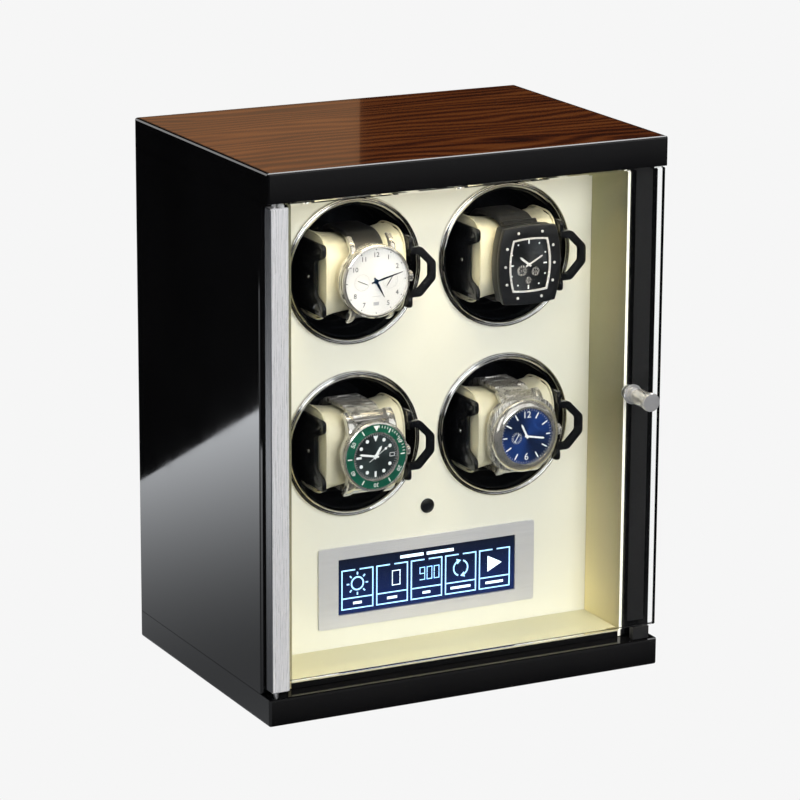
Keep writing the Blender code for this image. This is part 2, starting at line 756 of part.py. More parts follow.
LACQUER = material("black_lacquer", (0.006, 0.006, 0.007), 0.04)
WALNUT = material("walnut_veneer", (0.16, 0.055, 0.02), 0.06)
CREAM = material("cream_leatherette", (0.86, 0.80, 0.60), 0.55)
DIFFUSER = material("light_diffuser", (0.95, 0.90, 0.75), 0.4)
RUBBER = material("black_rubber", (0.02, 0.02, 0.02), 0.8)
FELT = material("black_felt", (0.015, 0.015, 0.016), 0.9)
ALUMINIUM = material("satin_aluminium", (0.70, 0.70, 0.72), 0.25, 1.0)
CHROME = material("chrome", (0.80, 0.80, 0.82), 0.08, 1.0)
STEEL = material("steel", (0.55, 0.55, 0.56), 0.3, 1.0)
GLASS = material("clear_glass", (0.90, 0.95, 0.93), 0.0, 0.0, 0.2)
PLASTIC = material("black_plastic", (0.012, 0.012, 0.013), 0.5)
GLOSS_PLASTIC = material("black_gloss_plastic", (0.008, 0.008, 0.009), 0.12)
NYLON = material("white_nylon", (0.75, 0.74, 0.70), 0.5)
CIRCUIT = material("circuit_board", (0.01, 0.10, 0.03), 0.4)
SCREEN = material("screen_glass", (0.004, 0.006, 0.015), 0.08)
LEATHER = material("cream_leather", (0.84, 0.78, 0.60), 0.5)

make_cabinet()
make_door()
make_controls()
make_winders()
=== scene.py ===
import json
import math

import bmesh
import bpy
from mathutils import Matrix, Vector


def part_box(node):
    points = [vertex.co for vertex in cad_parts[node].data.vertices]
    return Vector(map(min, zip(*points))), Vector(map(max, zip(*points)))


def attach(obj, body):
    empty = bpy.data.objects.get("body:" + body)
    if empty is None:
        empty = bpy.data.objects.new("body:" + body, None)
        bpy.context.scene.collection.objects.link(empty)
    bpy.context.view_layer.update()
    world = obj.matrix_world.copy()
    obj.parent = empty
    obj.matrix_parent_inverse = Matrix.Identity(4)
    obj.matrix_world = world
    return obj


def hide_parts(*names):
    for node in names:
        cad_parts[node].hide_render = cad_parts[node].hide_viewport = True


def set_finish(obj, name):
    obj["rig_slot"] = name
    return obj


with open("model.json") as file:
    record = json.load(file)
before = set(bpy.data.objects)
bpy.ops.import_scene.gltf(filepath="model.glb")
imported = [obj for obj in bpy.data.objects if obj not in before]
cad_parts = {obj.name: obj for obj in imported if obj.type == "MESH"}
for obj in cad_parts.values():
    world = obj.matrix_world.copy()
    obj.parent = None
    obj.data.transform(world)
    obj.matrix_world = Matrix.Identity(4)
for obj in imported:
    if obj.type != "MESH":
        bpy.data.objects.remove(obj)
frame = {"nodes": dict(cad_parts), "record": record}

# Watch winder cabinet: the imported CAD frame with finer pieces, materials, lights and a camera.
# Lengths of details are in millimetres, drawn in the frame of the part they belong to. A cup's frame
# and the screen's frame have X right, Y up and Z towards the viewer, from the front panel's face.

MM = 0.001
IDENTITY = Matrix.Identity(4)
TOWARDS_VIEWER = Matrix.Rotation(math.radians(90), 4, "X")
TOWARDS_BACK = Matrix.Rotation(math.radians(-90), 4, "X")
SIDEWAYS = Matrix.Rotation(math.radians(-90), 4, "Y")
TO_THE_RIGHT = Matrix.Rotation(math.radians(90), 4, "Y")
CUPS = ("upper_left", "upper_right", "lower_left", "lower_right")
RING_STEPS = 96

NODES = frame["nodes"]


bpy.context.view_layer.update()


# ---- mesh helpers, all in millimetres -----------------------------------------------------------
def at(x=0.0, y=0.0, z=0.0):
    return Matrix.Translation((x * MM, y * MM, z * MM))


def turned_about_z(degrees):
    return Matrix.Rotation(math.radians(degrees), 4, "Z")


def on_dial(degrees, radius=0.0, height=0.0):
    """A place on a clock face, counted clockwise from twelve, with +Y pointing outwards."""
    return turned_about_z(-degrees) @ at(0, radius, height)


def add_turned(bm, profile, steps=RING_STEPS, closed=False, place=IDENTITY):
    """A solid of revolution about Z from (radius, height) points."""
    rings = []
    for radius, height in profile:
        if radius == 0:
            rings.append([bm.verts.new(place @ Vector((0, 0, height * MM)))] * steps)
            continue
        ring = []
        for i in range(steps):
            turn = 2 * math.pi * i / steps
            spot = Vector((radius * math.cos(turn), radius * math.sin(turn), height)) * MM
            ring.append(bm.verts.new(place @ spot))
        rings.append(ring)
    pairs = list(zip(rings, rings[1:]))
    if closed:
        pairs.append((rings[-1], rings[0]))
    for near, far in pairs:
        for i in range(steps):
            j = (i + 1) % steps
            corners = list(dict.fromkeys((near[i], near[j], far[j], far[i])))
            if len(corners) > 2:
                bm.faces.new(corners)


def add_plate(bm, outline, low, high, place=IDENTITY):
    """An outline in the XY plane, extruded between two heights."""
    under = [bm.verts.new(place @ (Vector((x, y, low)) * MM)) for x, y in outline]
    over = [bm.verts.new(place @ (Vector((x, y, high)) * MM)) for x, y in outline]
    count = len(outline)
    for i in range(count):
        j = (i + 1) % count
        bm.faces.new((under[i], under[j], over[j], over[i]))
    bm.faces.new(list(reversed(under)))
    bm.faces.new(over)


def add_frame(bm, outer, inner, low, high, place=IDENTITY):
    """A flat frame between two outlines with the same number of points."""
    rings = []
    for outline, height in ((outer, low), (outer, high), (inner, high), (inner, low)):
        rings.append([bm.verts.new(place @ (Vector((x, y, height)) * MM)) for x, y in outline])
    count = len(outer)
    for near, far in zip(rings, rings[1:] + rings[:1]):
        for i in range(count):
            j = (i + 1) % count
            bm.faces.new((near[i], near[j], far[j], far[i]))


def add_block(bm, low, high, place=IDENTITY):
    """A box between two corners."""
    middle = [(a + b) / 2 * MM for a, b in zip(low, high)]
    span = [(b - a) * MM for a, b in zip(low, high)]
    shape = Matrix.Translation(middle) @ Matrix.Diagonal((*span, 1))
    bmesh.ops.create_cube(bm, size=1.0, matrix=place @ shape)


def add_arc(bm, inner_r, outer_r, start, end, low, high, place=IDENTITY):
    """Part of a flat ring, from one clock angle to another."""
    steps = max(3, round(abs(end - start) / 8))
    angles = [math.radians(90 - start - (end - start) * i / steps) for i in range(steps + 1)]
    outline = [(outer_r * math.cos(a), outer_r * math.sin(a)) for a in angles]
    outline += [(inner_r * math.cos(a), inner_r * math.sin(a)) for a in reversed(angles)]
    add_plate(bm, outline, low, high, place)


def merge(bm, extra):
    """Adds a finished shape to another, and frees it."""
    scratch = bpy.data.meshes.new("scratch")
    extra.to_mesh(scratch)
    bm.from_mesh(scratch)
    extra.free()
    bpy.data.meshes.remove(scratch)


def add_text(bm, words, size, place, thick=0.10):
    """Numerals as thin solid shapes."""
    curve = bpy.data.curves.new("numerals", "FONT")
    curve.body = words
    curve.size = size * MM
    curve.align_x = "CENTER"
    curve.align_y = "CENTER"
    curve.extrude = thick / 2 * MM
    curve.resolution_u = 3
    holder = bpy.data.objects.new("numerals", curve)
    bpy.context.scene.collection.objects.link(holder)
    bpy.context.view_layer.update()
    depsgraph = bpy.context.evaluated_depsgraph_get()
    mesh = bpy.data.meshes.new_from_object(holder.evaluated_get(depsgraph))
    mesh.transform(place)
    bm.from_mesh(mesh)
    bpy.data.objects.remove(holder)
    bpy.data.meshes.remove(mesh)


def add_sweep(bm, path, section, closed=False):
    """A section of (x, outwards) points carried along a path of (y, z, outward y, outward z)."""
    rings = []
    for y, z, out_y, out_z in path:
        ring = []
        for x, out in section:
            ring.append(bm.verts.new(Vector((x, y + out * out_y, z + out * out_z)) * MM))
        rings.append(ring)
    count = len(section)
    pairs = list(zip(rings, rings[1:]))
    if closed:
        pairs.append((rings[-1], rings[0]))
    else:
        bm.faces.new(rings[0])
        bm.faces.new(list(reversed(rings[-1])))
    for near, far in pairs:
        for i in range(count):
            j = (i + 1) % count
            bm.faces.new((near[i], near[j], far[j], far[i]))


def soften(bm, width, segments=2, angle=40):
    """Rounds every edge that is sharper than the angle."""
    bmesh.ops.recalc_face_normals(bm, faces=bm.faces)
    limit = math.radians(angle)
    sharp = [edge for edge in bm.edges if edge.is_manifold and edge.calc_face_angle(0) > limit]
    bmesh.ops.bevel(
        bm, geom=sharp, offset=width * MM, segments=segments, profile=0.5, affect="EDGES", clamp_overlap=True
    )


def made(name, bm, angle=32):
    """The finished mesh, smooth except across sharp edges."""
    bmesh.ops.recalc_face_normals(bm, faces=bm.faces)
    mesh = bpy.data.meshes.new(name)
    bm.to_mesh(mesh)
    bm.free()
    mesh.shade_smooth()
    mesh.set_sharp_from_angle(angle=math.radians(angle))
    return mesh


def joined(name, base, steps, angle=32):
    """The base mesh after Boolean steps, each an operation and the mesh it uses."""
    scene = bpy.context.scene
    body = bpy.data.objects.new(name, base)
    scene.collection.objects.link(body)
    tools = []
    for operation, mesh in steps:
        tool = bpy.data.objects.new("tool", mesh)
        scene.collection.objects.link(tool)
        tools.append(tool)
        modifier = body.modifiers.new("join", "BOOLEAN")
        modifier.operation = operation
        modifier.solver = "EXACT"
        modifier.object = tool
    bpy.context.view_layer.update()
    depsgraph = bpy.context.evaluated_depsgraph_get()
    result = bpy.data.meshes.new_from_object(body.evaluated_get(depsgraph))
    for obj in [body, *tools]:
        bpy.data.objects.remove(obj)
    result.name = name
    result.materials.clear()
    result.shade_smooth()
    result.set_sharp_from_angle(angle=math.radians(angle))
    return result


# ---- outlines -----------------------------------------------------------------------------------
def rounded_polygon(corners, radius, steps=4):
    """A closed outline with each corner rounded."""
    points = []
    count = len(corners)
    for i in range(count):
        here = Vector(corners[i])
        before = Vector(corners[i - 1]) - here
        after = Vector(corners[(i + 1) % count]) - here
        reach = min(radius, before.length * 0.45, after.length * 0.45)
        start = here + before.normalized() * reach
        end = here + after.normalized() * reach
        for k in range(steps + 1):
            t = k / steps
            points.append(tuple(start * (1 - t) ** 2 + here * 2 * t * (1 - t) + end * t * t))
    return points


def box_corners(half_x, half_y):
    return [(-half_x, -half_y), (half_x, -half_y), (half_x, half_y), (-half_x, half_y)]


def both_halves(upper):
    return list(upper) + [(x, -y) for x, y in reversed(upper)]


def gear_outline(teeth, tip_r, root_r):
    points = []
    for i in range(teeth):
        middle = 2 * math.pi * (i + 0.25) / teeth
        for radius, offset in ((root_r, -0.30), (tip_r, -0.13), (tip_r, 0.13), (root_r, 0.30)):
            turn = middle + offset * 2 * math.pi / teeth
            points.append((radius * math.cos(turn), radius * math.sin(turn)))
    return points


def tonneau_outline(half_x, half_y, bulge, steps=10):
    """A barrel shape: bowed sides and gently bowed ends."""
    points = []
    for k in range(steps + 1):
        t = 2 * k / steps - 1
        points.append((half_x + bulge * (1 - t * t), t * half_y))
    for k in range(1, steps):
        t = 1 - 2 * k / steps
        points.append((t * half_x, half_y + 0.35 * bulge * (1 - t * t)))
    for k in range(steps + 1):
        t = 1 - 2 * k / steps
        points.append((-half_x - bulge * (1 - t * t), t * half_y))
    for k in range(1, steps):
        t = 2 * k / steps - 1
        points.append((t * half_x, -half_y - 0.35 * bulge * (1 - t * t)))
    return points


def cushion_outline(radius, power, steps=48):
    """Between a circle and a square, as its power rises above two."""
    points = []
    for k in range(steps):
        turn = 2 * math.pi * k / steps
        c, s = math.cos(turn), math.sin(turn)
        reach = radius / (abs(c) ** power + abs(s) ** power) ** (1 / power)
        points.append((reach * c, reach * s))
    return points


# ---- materials ----------------------------------------------------------------------------------
class Nodes:
    """Adds nodes to a material's or the world's tree."""

    def __init__(self, owner, fresh=False):
        owner.use_nodes = True
        self.tree = owner.node_tree
        if fresh:
            self.tree.nodes.clear()

    def node(self, kind, links=(), **values):
        made_node = self.tree.nodes.new(kind)
        for socket, value in values.items():
            made_node.inputs[socket.replace("_", " ")].default_value = value
        for socket, source in dict(links).items():
            self.tree.links.new(source, made_node.inputs[socket])
        return made_node

    def math(self, operation, first, second=0.0):
        made_node = self.tree.nodes.new("ShaderNodeMath")
        made_node.operation = operation
        for socket, value in zip(made_node.inputs, (first, second)):
            if isinstance(value, bpy.types.NodeSocket):
                self.tree.links.new(value, socket)
            else:
                socket.default_value = value
        return made_node.outputs["Value"]

    def coordinate(self, axis):
        """A place along an axis of the object, in metres."""
        space = self.node("ShaderNodeTexCoord").outputs["Object"]
        return self.node("ShaderNodeSeparateXYZ", {"Vector": space}).outputs[axis]

    def between(self, factor, low, high, start=0.3, end=0.7):
        limits = {"From_Min": start, "From_Max": end, "To_Min": low, "To_Max": high}
        return self.node("ShaderNodeMapRange", {"Value": factor}, **limits).outputs["Result"]

    def ramp(self, factor, stops):
        made_node = self.node("ShaderNodeValToRGB", {"Fac": factor})
        elements = made_node.color_ramp.elements
        while len(elements) < len(stops):
            elements.new(0.5)
        for element, (spot, colour) in zip(elements, stops):
            element.position = spot
            element.color = (*colour, 1)
        return made_node.outputs["Color"]


class Finish(Nodes):
    """A Principled material with textures laid out in the object's own space, in metres."""

    def __init__(self, name, colour, roughness, metallic=0.0, **sockets):
        self.material = bpy.data.materials.new(name)
        super().__init__(self.material)
        self.shader = self.tree.nodes["Principled BSDF"]
        plain = {"Base_Color": (*colour, 1), "Roughness": roughness, "Metallic": metallic}
        for socket, value in {**plain, **sockets}.items():
            self.shader.inputs[socket.replace("_", " ")].default_value = value
        self.space = self.node("ShaderNodeTexCoord").outputs["Object"]

    def drive(self, socket, source):
        self.tree.links.new(source, self.shader.inputs[socket])
        return self

    def stretched(self, x, y, z):
        return self.node("ShaderNodeMapping", {"Vector": self.space}, Scale=(x, y, z)).outputs["Vector"]

    def noise(self, scale, detail=3.0, rough=0.55, distortion=0.0, space=None):
        values = {"Scale": scale, "Detail": detail, "Distortion": distortion, "Roughness": rough}
        return self.node("ShaderNodeTexNoise", {"Vector": space or self.space}, **values).outputs["Fac"]

    def cells(self, scale):
        return self.node("ShaderNodeTexVoronoi", {"Vector": self.space}, Scale=scale).outputs["Distance"]

    def facing(self, axis):
        """How far a face looks along an axis of the object, from -1 to 1."""
        normal = self.node("ShaderNodeTexCoord").outputs["Normal"]
        return self.node("ShaderNodeSeparateXYZ", {"Vector": normal}).outputs[axis]

    def mixed(self, share, first, second):
        """A colour socket turned into a plain colour where the share is one."""
        made_node = self.tree.nodes.new("ShaderNodeMix")
        made_node.data_type = "RGBA"
        self.tree.links.new(share, made_node.inputs[0])
        self.tree.links.new(first, made_node.inputs[6])
        made_node.inputs[7].default_value = (*second, 1)
        return made_node.outputs[2]

    def relief(self, height, depth, strength):
        """Bump, with the depth in millimetres."""
        bump = self.node("ShaderNodeBump", {"Height": height}, Strength=strength, Distance=depth * MM)
        self.drive("Normal", bump.outputs["Normal"])
        return self

    def varied(self, dark, light, scale):
        return self.drive("Base Color", self.ramp(self.noise(scale), [(0.3, dark), (0.7, light)]))

    def worn(self, low, high, scale):
        return self.drive("Roughness", self.between(self.noise(scale, 4.0), low, high))


def lacquer(name):
    finish = Finish(name, (0.003, 0.003, 0.0035), 0.05, Specular_IOR_Level=0.42)
    finish.varied((0.0022, 0.0022, 0.0026), (0.0040, 0.0040, 0.0045), 14)
    finish.worn(0.030, 0.060, 45)
    return finish.relief(finish.noise(140, 2.0), 0.004, 0.35)


def base_lacquer():
    """Lacquer whose reflection is turned down on its upward faces, a painted shade that dims the highlight
    along the base's top edge.
    """
    finish = lacquer("black_lacquer_base")
    # Painted shade: upward faces reflect less, so the base's top edge shows a dimmer highlight.
    upward = finish.math("GREATER_THAN", finish.facing("Z"), 0.3)
    finish.drive("Specular IOR Level", finish.between(upward, 0.42, 0.15, 0.0, 1.0))
    return finish


def stile_aluminium():
    """Satin aluminium whose outer side face is painted dark grey, as painted shade on that side."""
    finish = metal("stile_aluminium", (0.80, 0.80, 0.82), (0.90, 0.90, 0.92), 0.24, 0.34, "z", 0.002, 0.40)
    # Painted shade: faces looking out sideways get a dark grey instead of the aluminium's colour.
    outward = finish.math("LESS_THAN", finish.facing("X"), -0.7)
    streaks = finish.shader.inputs["Base Color"].links[0].from_socket
    return finish.drive("Base Color", finish.mixed(outward, streaks, (0.062, 0.064, 0.071)))


def side_lining(name, painted_glow_edge):
    """Tan leatherette with painted light and shade: pale where the floor is lit, dark olive higher up, darker
    towards the front; its cut front edge can get a painted glow of lit cream.
    """
    finish = leatherette(name, (0.44, 0.415, 0.29), (0.50, 0.475, 0.34))
    low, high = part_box("lining_right")
    height = finish.between(finish.coordinate("Z"), 0.0, 1.0, low.z, high.z)
    # Painted light and shade up the lining: a pale, lit tan at the floor, dark olive in the shade higher up.
    stops = [
        (0.07, (0.610, 0.538, 0.295)),
        (0.17, (0.494, 0.440, 0.250)),
        (0.33, (0.376, 0.344, 0.200)),
        (0.53, (0.216, 0.207, 0.115)),
        (0.74, (0.260, 0.248, 0.137)),
        (0.92, (0.249, 0.243, 0.132)),
    ]
    # Painted shade: darker towards the front edge, paler towards the back panel.
    depth = finish.between(finish.coordinate("Y"), 0.65, 1.55, low.y, high.y)
    clouds = finish.between(finish.noise(9), 0.94, 1.06)
    shade = finish.node("ShaderNodeVectorMath", {0: finish.ramp(height, stops)})
    shade.operation = "SCALE"
    finish.tree.links.new(finish.math("MULTIPLY", depth, clouds), shade.inputs["Scale"])
    if not painted_glow_edge:
        return finish.drive("Base Color", shade.outputs["Vector"])
    # Painted glow: the cut front edge is painted a lit cream and emits a little, though it is no lamp.
    painted_glow_cut_edge = finish.math("LESS_THAN", finish.facing("Y"), -0.7)
    colour = finish.mixed(painted_glow_cut_edge, shade.outputs["Vector"], (0.93, 0.91, 0.80))
    finish.drive("Base Color", colour)
    finish.drive("Emission Color", colour)
    return finish.drive("Emission Strength", finish.math("MULTIPLY", painted_glow_cut_edge, 0.35))


def walnut():
    finish = Finish("walnut_veneer", (0.075, 0.020, 0.006), 0.10, Coat_Weight=1.0, Coat_Roughness=0.03)
    drift = finish.noise(2.2, 3.0, 0.5, 0.4, finish.stretched(1.6, 5.0, 1.0))
    across = finish.math("ADD", finish.coordinate("Y"), finish.math("MULTIPLY", drift, 0.085))
    rings = finish.math("SINE", finish.math("MULTIPLY", across, 620.0))
    bands = finish.between(rings, 0.0, 1.0, -1.0, 1.0)
    fibre = finish.noise(1.0, 5.0, 0.65, 0.2, finish.stretched(26, 900, 60))
    broad = finish.noise(1.0, 3.0, 0.5, 0.6, finish.stretched(7, 34, 10))
    fine = finish.math("MULTIPLY", fibre, 0.34)
    mixed = finish.math("ADD", finish.math("MULTIPLY", bands, 0.30), fine)
    mixed = finish.math("ADD", mixed, finish.math("MULTIPLY", broad, 0.55))
    stops = [
        (0.34, (0.044, 0.0082, 0.0018)),
        (0.48, (0.124, 0.0240, 0.0042)),
        (0.62, (0.240, 0.0550, 0.0090)),
        (0.80, (0.390, 0.1150, 0.0230)),
    ]
    finish.drive("Base Color", finish.ramp(mixed, stops))
    return finish.relief(fibre, 0.006, 0.2)


def leatherette(name, dark, light, grain=620.0, depth=0.045):
    finish = Finish(name, light, 0.55)
    finish.varied(dark, light, 9)
    pebbles = finish.cells(grain)
    fine = finish.noise(grain * 2.2, 2.0)
    height = finish.math("ADD", pebbles, finish.math("MULTIPLY", fine, 0.4))
    finish.drive("Roughness", finish.between(pebbles, 0.62, 0.46, 0.1, 0.6))
    return finish.relief(height, depth, 0.55)


def metal(name, dark, light, low, high, along="z", grain=0.002, metallic=1.0):
    """Brushed or polished metal: fine streaks along one axis."""
    finish = Finish(name, light, (low + high) / 2, metallic)
    fine, long = 2600, 40
    scales = {"x": (long, fine, fine), "y": (fine, long, fine), "z": (fine, fine, long)}[along]
    streaks = finish.noise(1.0, 3.0, 0.6, 0.0, finish.stretched(*scales))
    finish.drive("Base Color", finish.ramp(streaks, [(0.3, dark), (0.7, light)]))
    finish.drive("Roughness", finish.between(streaks, low, high))
    return finish.relief(streaks, grain, 0.5)


def polished(name, dark, light, low, high, metallic=1.0, **sockets):
    """A smooth finish with faint clouding and handling marks."""
    finish = Finish(name, light, (low + high) / 2, metallic, **sockets)
    finish.varied(dark, light, 160)
    finish.worn(low, high, 240)
    return finish.relief(finish.noise(900, 2.0), 0.002, 0.2)


def matt(name, dark, light, low, high, grain, depth):
    finish = Finish(name, light, (low + high) / 2)
    finish.varied(dark, light, grain / 5)
    finish.worn(low, high, grain)
    return finish.relief(finish.noise(grain, 3.0), depth, 0.6)


def clear(name, tint, ior=1.45):
    finish = Finish(name, tint, 0.0, 0.0, Transmission_Weight=1.0, IOR=ior)
    finish.varied(tint, tuple(min(1.0, part * 1.01) for part in tint), 20)
    return finish.drive("Roughness", finish.between(finish.noise(60), 0.0, 0.006))


def glowing(name, colour, strength, scale=400):
    finish = Finish(name, colour, 0.4, 0.0, Emission_Strength=strength)
    dimmer = tuple(part * 0.90 for part in colour)
    light = finish.ramp(finish.noise(scale), [(0.3, dimmer), (0.7, colour)])
    finish.drive("Emission Color", light)
    finish.varied(dimmer, colour, scale)
    return finish.relief(finish.noise(scale * 3), 0.004, 0.3)


def screen_glass():
    finish = Finish("screen_glass", (0.004, 0.007, 0.02), 0.08, 0.0, Emission_Strength=1.0)
    low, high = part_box("lcd_screen")
    lit = finish.between(finish.coordinate("Z"), 0.0, 1.0, high.z, low.z)
    cloudy = finish.math("MULTIPLY", lit, finish.between(finish.noise(60), 0.75, 1.15))
    stops = [(0.0, (0.006, 0.008, 0.014)), (0.22, (0.006, 0.010, 0.030)), (0.75, (0.010, 0.020, 0.095))]
    finish.drive("Emission Color", finish.ramp(cloudy, stops))
    finish.worn(0.05, 0.11, 300)
    return finish.relief(finish.noise(800), 0.002, 0.2)


def circuit_board():
    finish = Finish("circuit_board", (0.01, 0.10, 0.03), 0.35)
    grid = finish.node("ShaderNodeTexBrick", {"Vector": finish.space}, Scale=180.0)
    grid.inputs["Color1"].default_value = (0.008, 0.085, 0.026, 1)
    grid.inputs["Color2"].default_value = (0.012, 0.110, 0.035, 1)
    grid.inputs["Mortar"].default_value = (0.35, 0.24, 0.08, 1)
    grid.inputs["Mortar Size"].default_value = 0.012
    finish.drive("Base Color", grid.outputs["Color"])
    return finish.relief(grid.outputs["Fac"], 0.03, 0.6)


def sunray(name, dark, light, metallic=0.6, roughness=0.28):
    """A dial brushed outwards from its centre, with a painted sheen: bright and dark sectors painted into its
    colour, turning with the angle round the centre.
    """
    finish = Finish(name, light, roughness, metallic)
    gradient = finish.node("ShaderNodeTexGradient", {"Vector": finish.space})
    gradient.gradient_type = "RADIAL"
    # Painted sheen: two bright and two dark sectors round the centre, painted into the base colour.
    painted_sheen = finish.math("SINE", finish.math("MULTIPLY", gradient.outputs["Fac"], 4 * math.pi))
    spokes = finish.noise(1.0, 2.0, 0.5, 0.0, finish.stretched(900, 900, 10))
    fine = finish.math("MULTIPLY", spokes, 0.3)
    value = finish.math("ADD", finish.math("MULTIPLY", painted_sheen, 0.35), fine)
    value = finish.math("ADD", value, 0.35)
    finish.drive("Base Color", finish.ramp(value, [(0.2, dark), (0.8, light)]))
    return finish.relief(spokes, 0.003, 0.3)


LACQUER = lacquer("black_lacquer")
BASE_LACQUER = base_lacquer()
WALNUT = walnut()
CREAM = leatherette("cream_leatherette", (0.82, 0.81, 0.69), (0.86, 0.85, 0.74))
# Side linings with painted light and shade; the right one also has a painted glow on its cut front edge.
LINING_LEFT = side_lining("tan_leatherette_left", False)
LINING_RIGHT = side_lining("tan_leatherette_right", True)
FLOOR_LINING = leatherette("floor_leatherette", (0.70, 0.67, 0.45), (0.77, 0.74, 0.51))
PILLOW = leatherette("cream_leather", (0.66, 0.63, 0.47), (0.74, 0.71, 0.55), 900.0, 0.03)
PIPING = leatherette("cream_piping", (0.58, 0.55, 0.40), (0.66, 0.63, 0.47), 1200.0, 0.02)
DIFFUSER = glowing("light_diffuser", (1.0, 0.86, 0.58), 3.0)
RUBBER = matt("black_rubber", (0.012, 0.012, 0.012), (0.024, 0.024, 0.024), 0.7, 0.9, 1800, 0.03)
FELT = matt("black_felt", (0.0016, 0.0016, 0.0018), (0.0045, 0.0045, 0.005), 0.85, 1.0, 3000, 0.08)
ALUMINIUM = stile_aluminium()
BEZEL = metal("bezel_aluminium", (0.65, 0.65, 0.67), (0.73, 0.73, 0.75), 0.28, 0.38, "x", 0.002, 0.30)
KNOB_CHROME = polished("knob_chrome", (0.60, 0.60, 0.61), (0.68, 0.68, 0.69), 0.10, 0.18, 0.62)
CHROME = polished("chrome", (0.78, 0.78, 0.79), (0.86, 0.86, 0.87), 0.03, 0.09)
STEEL = metal("steel", (0.50, 0.50, 0.50), (0.60, 0.60, 0.60), 0.26, 0.38, "x")
GLASS = clear("clear_glass", (0.98, 0.99, 0.985), 1.2)
CRYSTAL = clear("watch_crystal", (0.97, 0.98, 1.0), 1.12)
PLASTIC = matt("black_plastic", (0.009, 0.009, 0.010), (0.016, 0.016, 0.017), 0.36, 0.5, 1400, 0.012)
GLOSS = polished("black_gloss_plastic", (0.004, 0.0045, 0.006), (0.008, 0.009, 0.011), 0.06, 0.14, 0.0)
NYLON = matt("white_nylon", (0.68, 0.67, 0.62), (0.76, 0.75, 0.70), 0.4, 0.55, 700, 0.01)
CIRCUIT = circuit_board()
SCREEN = screen_glass()
GLOW = glowing("display_light", (0.36, 0.66, 1.0), 1.25)
WHITE_GLOW = glowing("display_white", (0.72, 0.88, 1.0), 1.25)
POLISHED_STEEL = polished("polished_steel", (0.60, 0.59, 0.57), (0.76, 0.75, 0.73), 0.08, 0.18, 0.84)
BRIGHT_STEEL = polished("bright_steel", (0.66, 0.66, 0.66), (0.78, 0.78, 0.78), 0.20, 0.30, 0.25)
BRUSHED_STEEL = metal("brushed_steel", (0.48, 0.47, 0.45), (0.66, 0.65, 0.62), 0.20, 0.32, "y", 0.002, 0.82)
BLACK_CASE = polished(
    "black_case", (0.006, 0.0065, 0.008), (0.010, 0.011, 0.013), 0.30, 0.34, 0.0, Specular_IOR_Level=0.35,
)
WHITE_DIAL = sunray("white_dial", (0.58, 0.58, 0.575), (0.66, 0.66, 0.655), 0.0, 0.45)
BLACK_DIAL = sunray("black_dial", (0.006, 0.012, 0.012), (0.022, 0.034, 0.034), 0.2, 0.35)
DARK_DIAL = sunray("dark_dial", (0.008, 0.009, 0.010), (0.040, 0.044, 0.048), 0.5, 0.35)
BLUE_DIAL = sunray("blue_dial", (0.006, 0.016, 0.055), (0.012, 0.045, 0.200), 0.35, 0.30)
GREEN_BEZEL = polished("green_bezel", (0.008, 0.075, 0.045), (0.016, 0.120, 0.075), 0.10, 0.18, 0.0)
LUME = matt("white_lume", (0.78, 0.80, 0.78), (0.90, 0.92, 0.90), 0.4, 0.55, 2600, 0.01)
INK = matt("dark_print", (0.008, 0.010, 0.018), (0.020, 0.024, 0.040), 0.4, 0.55, 2600, 0.01)
PALE_INK = matt("grey_print", (0.30, 0.31, 0.33), (0.42, 0.43, 0.45), 0.4, 0.55, 2600, 0.01)
BLUED = polished("blued_steel", (0.006, 0.020, 0.050), (0.012, 0.040, 0.100), 0.12, 0.22, 0.7)
BLACK_LEATHER = leatherette("black_leather", (0.006, 0.006, 0.007), (0.014, 0.014, 0.015), 1100.0, 0.05)
BLACK_LEATHER.shader.inputs["Coat Weight"].default_value = 0.6
BLACK_LEATHER.shader.inputs["Coat Roughness"].default_value = 0.12


# ---- pieces -------------------------------------------------------------------------------------
def piece(name, mesh, finish, body, slot, place=IDENTITY, stands_for=()):
    if not mesh.materials:
        mesh.materials.append(finish.material)
    obj = bpy.data.objects.new(name, mesh)
    bpy.context.scene.collection.objects.link(obj)
    obj.matrix_world = place
    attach(obj, body)
    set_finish(obj, slot)
    if stands_for:
        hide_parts(*stands_for)
    return obj


def paint_frame():
    """Materials for the CAD nodes that stay visible."""
    finishes = {
        "black_lacquer": LACQUER,
        "walnut": WALNUT,
        "cream_leatherette": CREAM,
        "diffuser": DIFFUSER,
        "rubber": RUBBER,
        "glass": GLASS,
        "aluminium": ALUMINIUM,
        "steel": STEEL,
        "chrome": CHROME,
        "felt": FELT,
        "black_plastic": PLASTIC,
        "screen": SCREEN,
        "circuit_board": CIRCUIT,
        "gloss_black_plastic": GLOSS,
        "cream_leather": PILLOW,
        "motor_steel": STEEL,
        "nylon": NYLON,
        "watch_white": POLISHED_STEEL,
        "watch_black": BLACK_CASE,
        "watch_steel": BRUSHED_STEEL,
    }
    for part in frame["record"]["subparts"]:
        obj = NODES[part["node"]]
        obj.data.materials.clear()
        obj.data.materials.append(finishes[part["material_slot"]].material)
        obj["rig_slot"] = part["material_slot"]
    for node, finish in (
        ("lcd_bezel", BEZEL),
        ("lining_left", LINING_LEFT),
        ("lining_right", LINING_RIGHT),
        ("lining_floor", FLOOR_LINING),
        ("base_board", BASE_LACQUER),
    ):
        NODES[node].data.materials[0] = finish.material
    NODES["door_glass"].visible_shadow = False


def middle_of(node):
    low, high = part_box(node)
    return (low + high) / 2


PANEL_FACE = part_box("front_panel")[0].y


def cup_frame(name):
    centre = middle_of(f"trim_ring_{name}")
    return Matrix.Translation((centre.x, PANEL_FACE, centre.z)) @ TOWARDS_VIEWER


def screen_frame():
    centre = middle_of("lcd_screen")
    return Matrix.Translation((centre.x, PANEL_FACE, centre.z)) @ TOWARDS_VIEWER


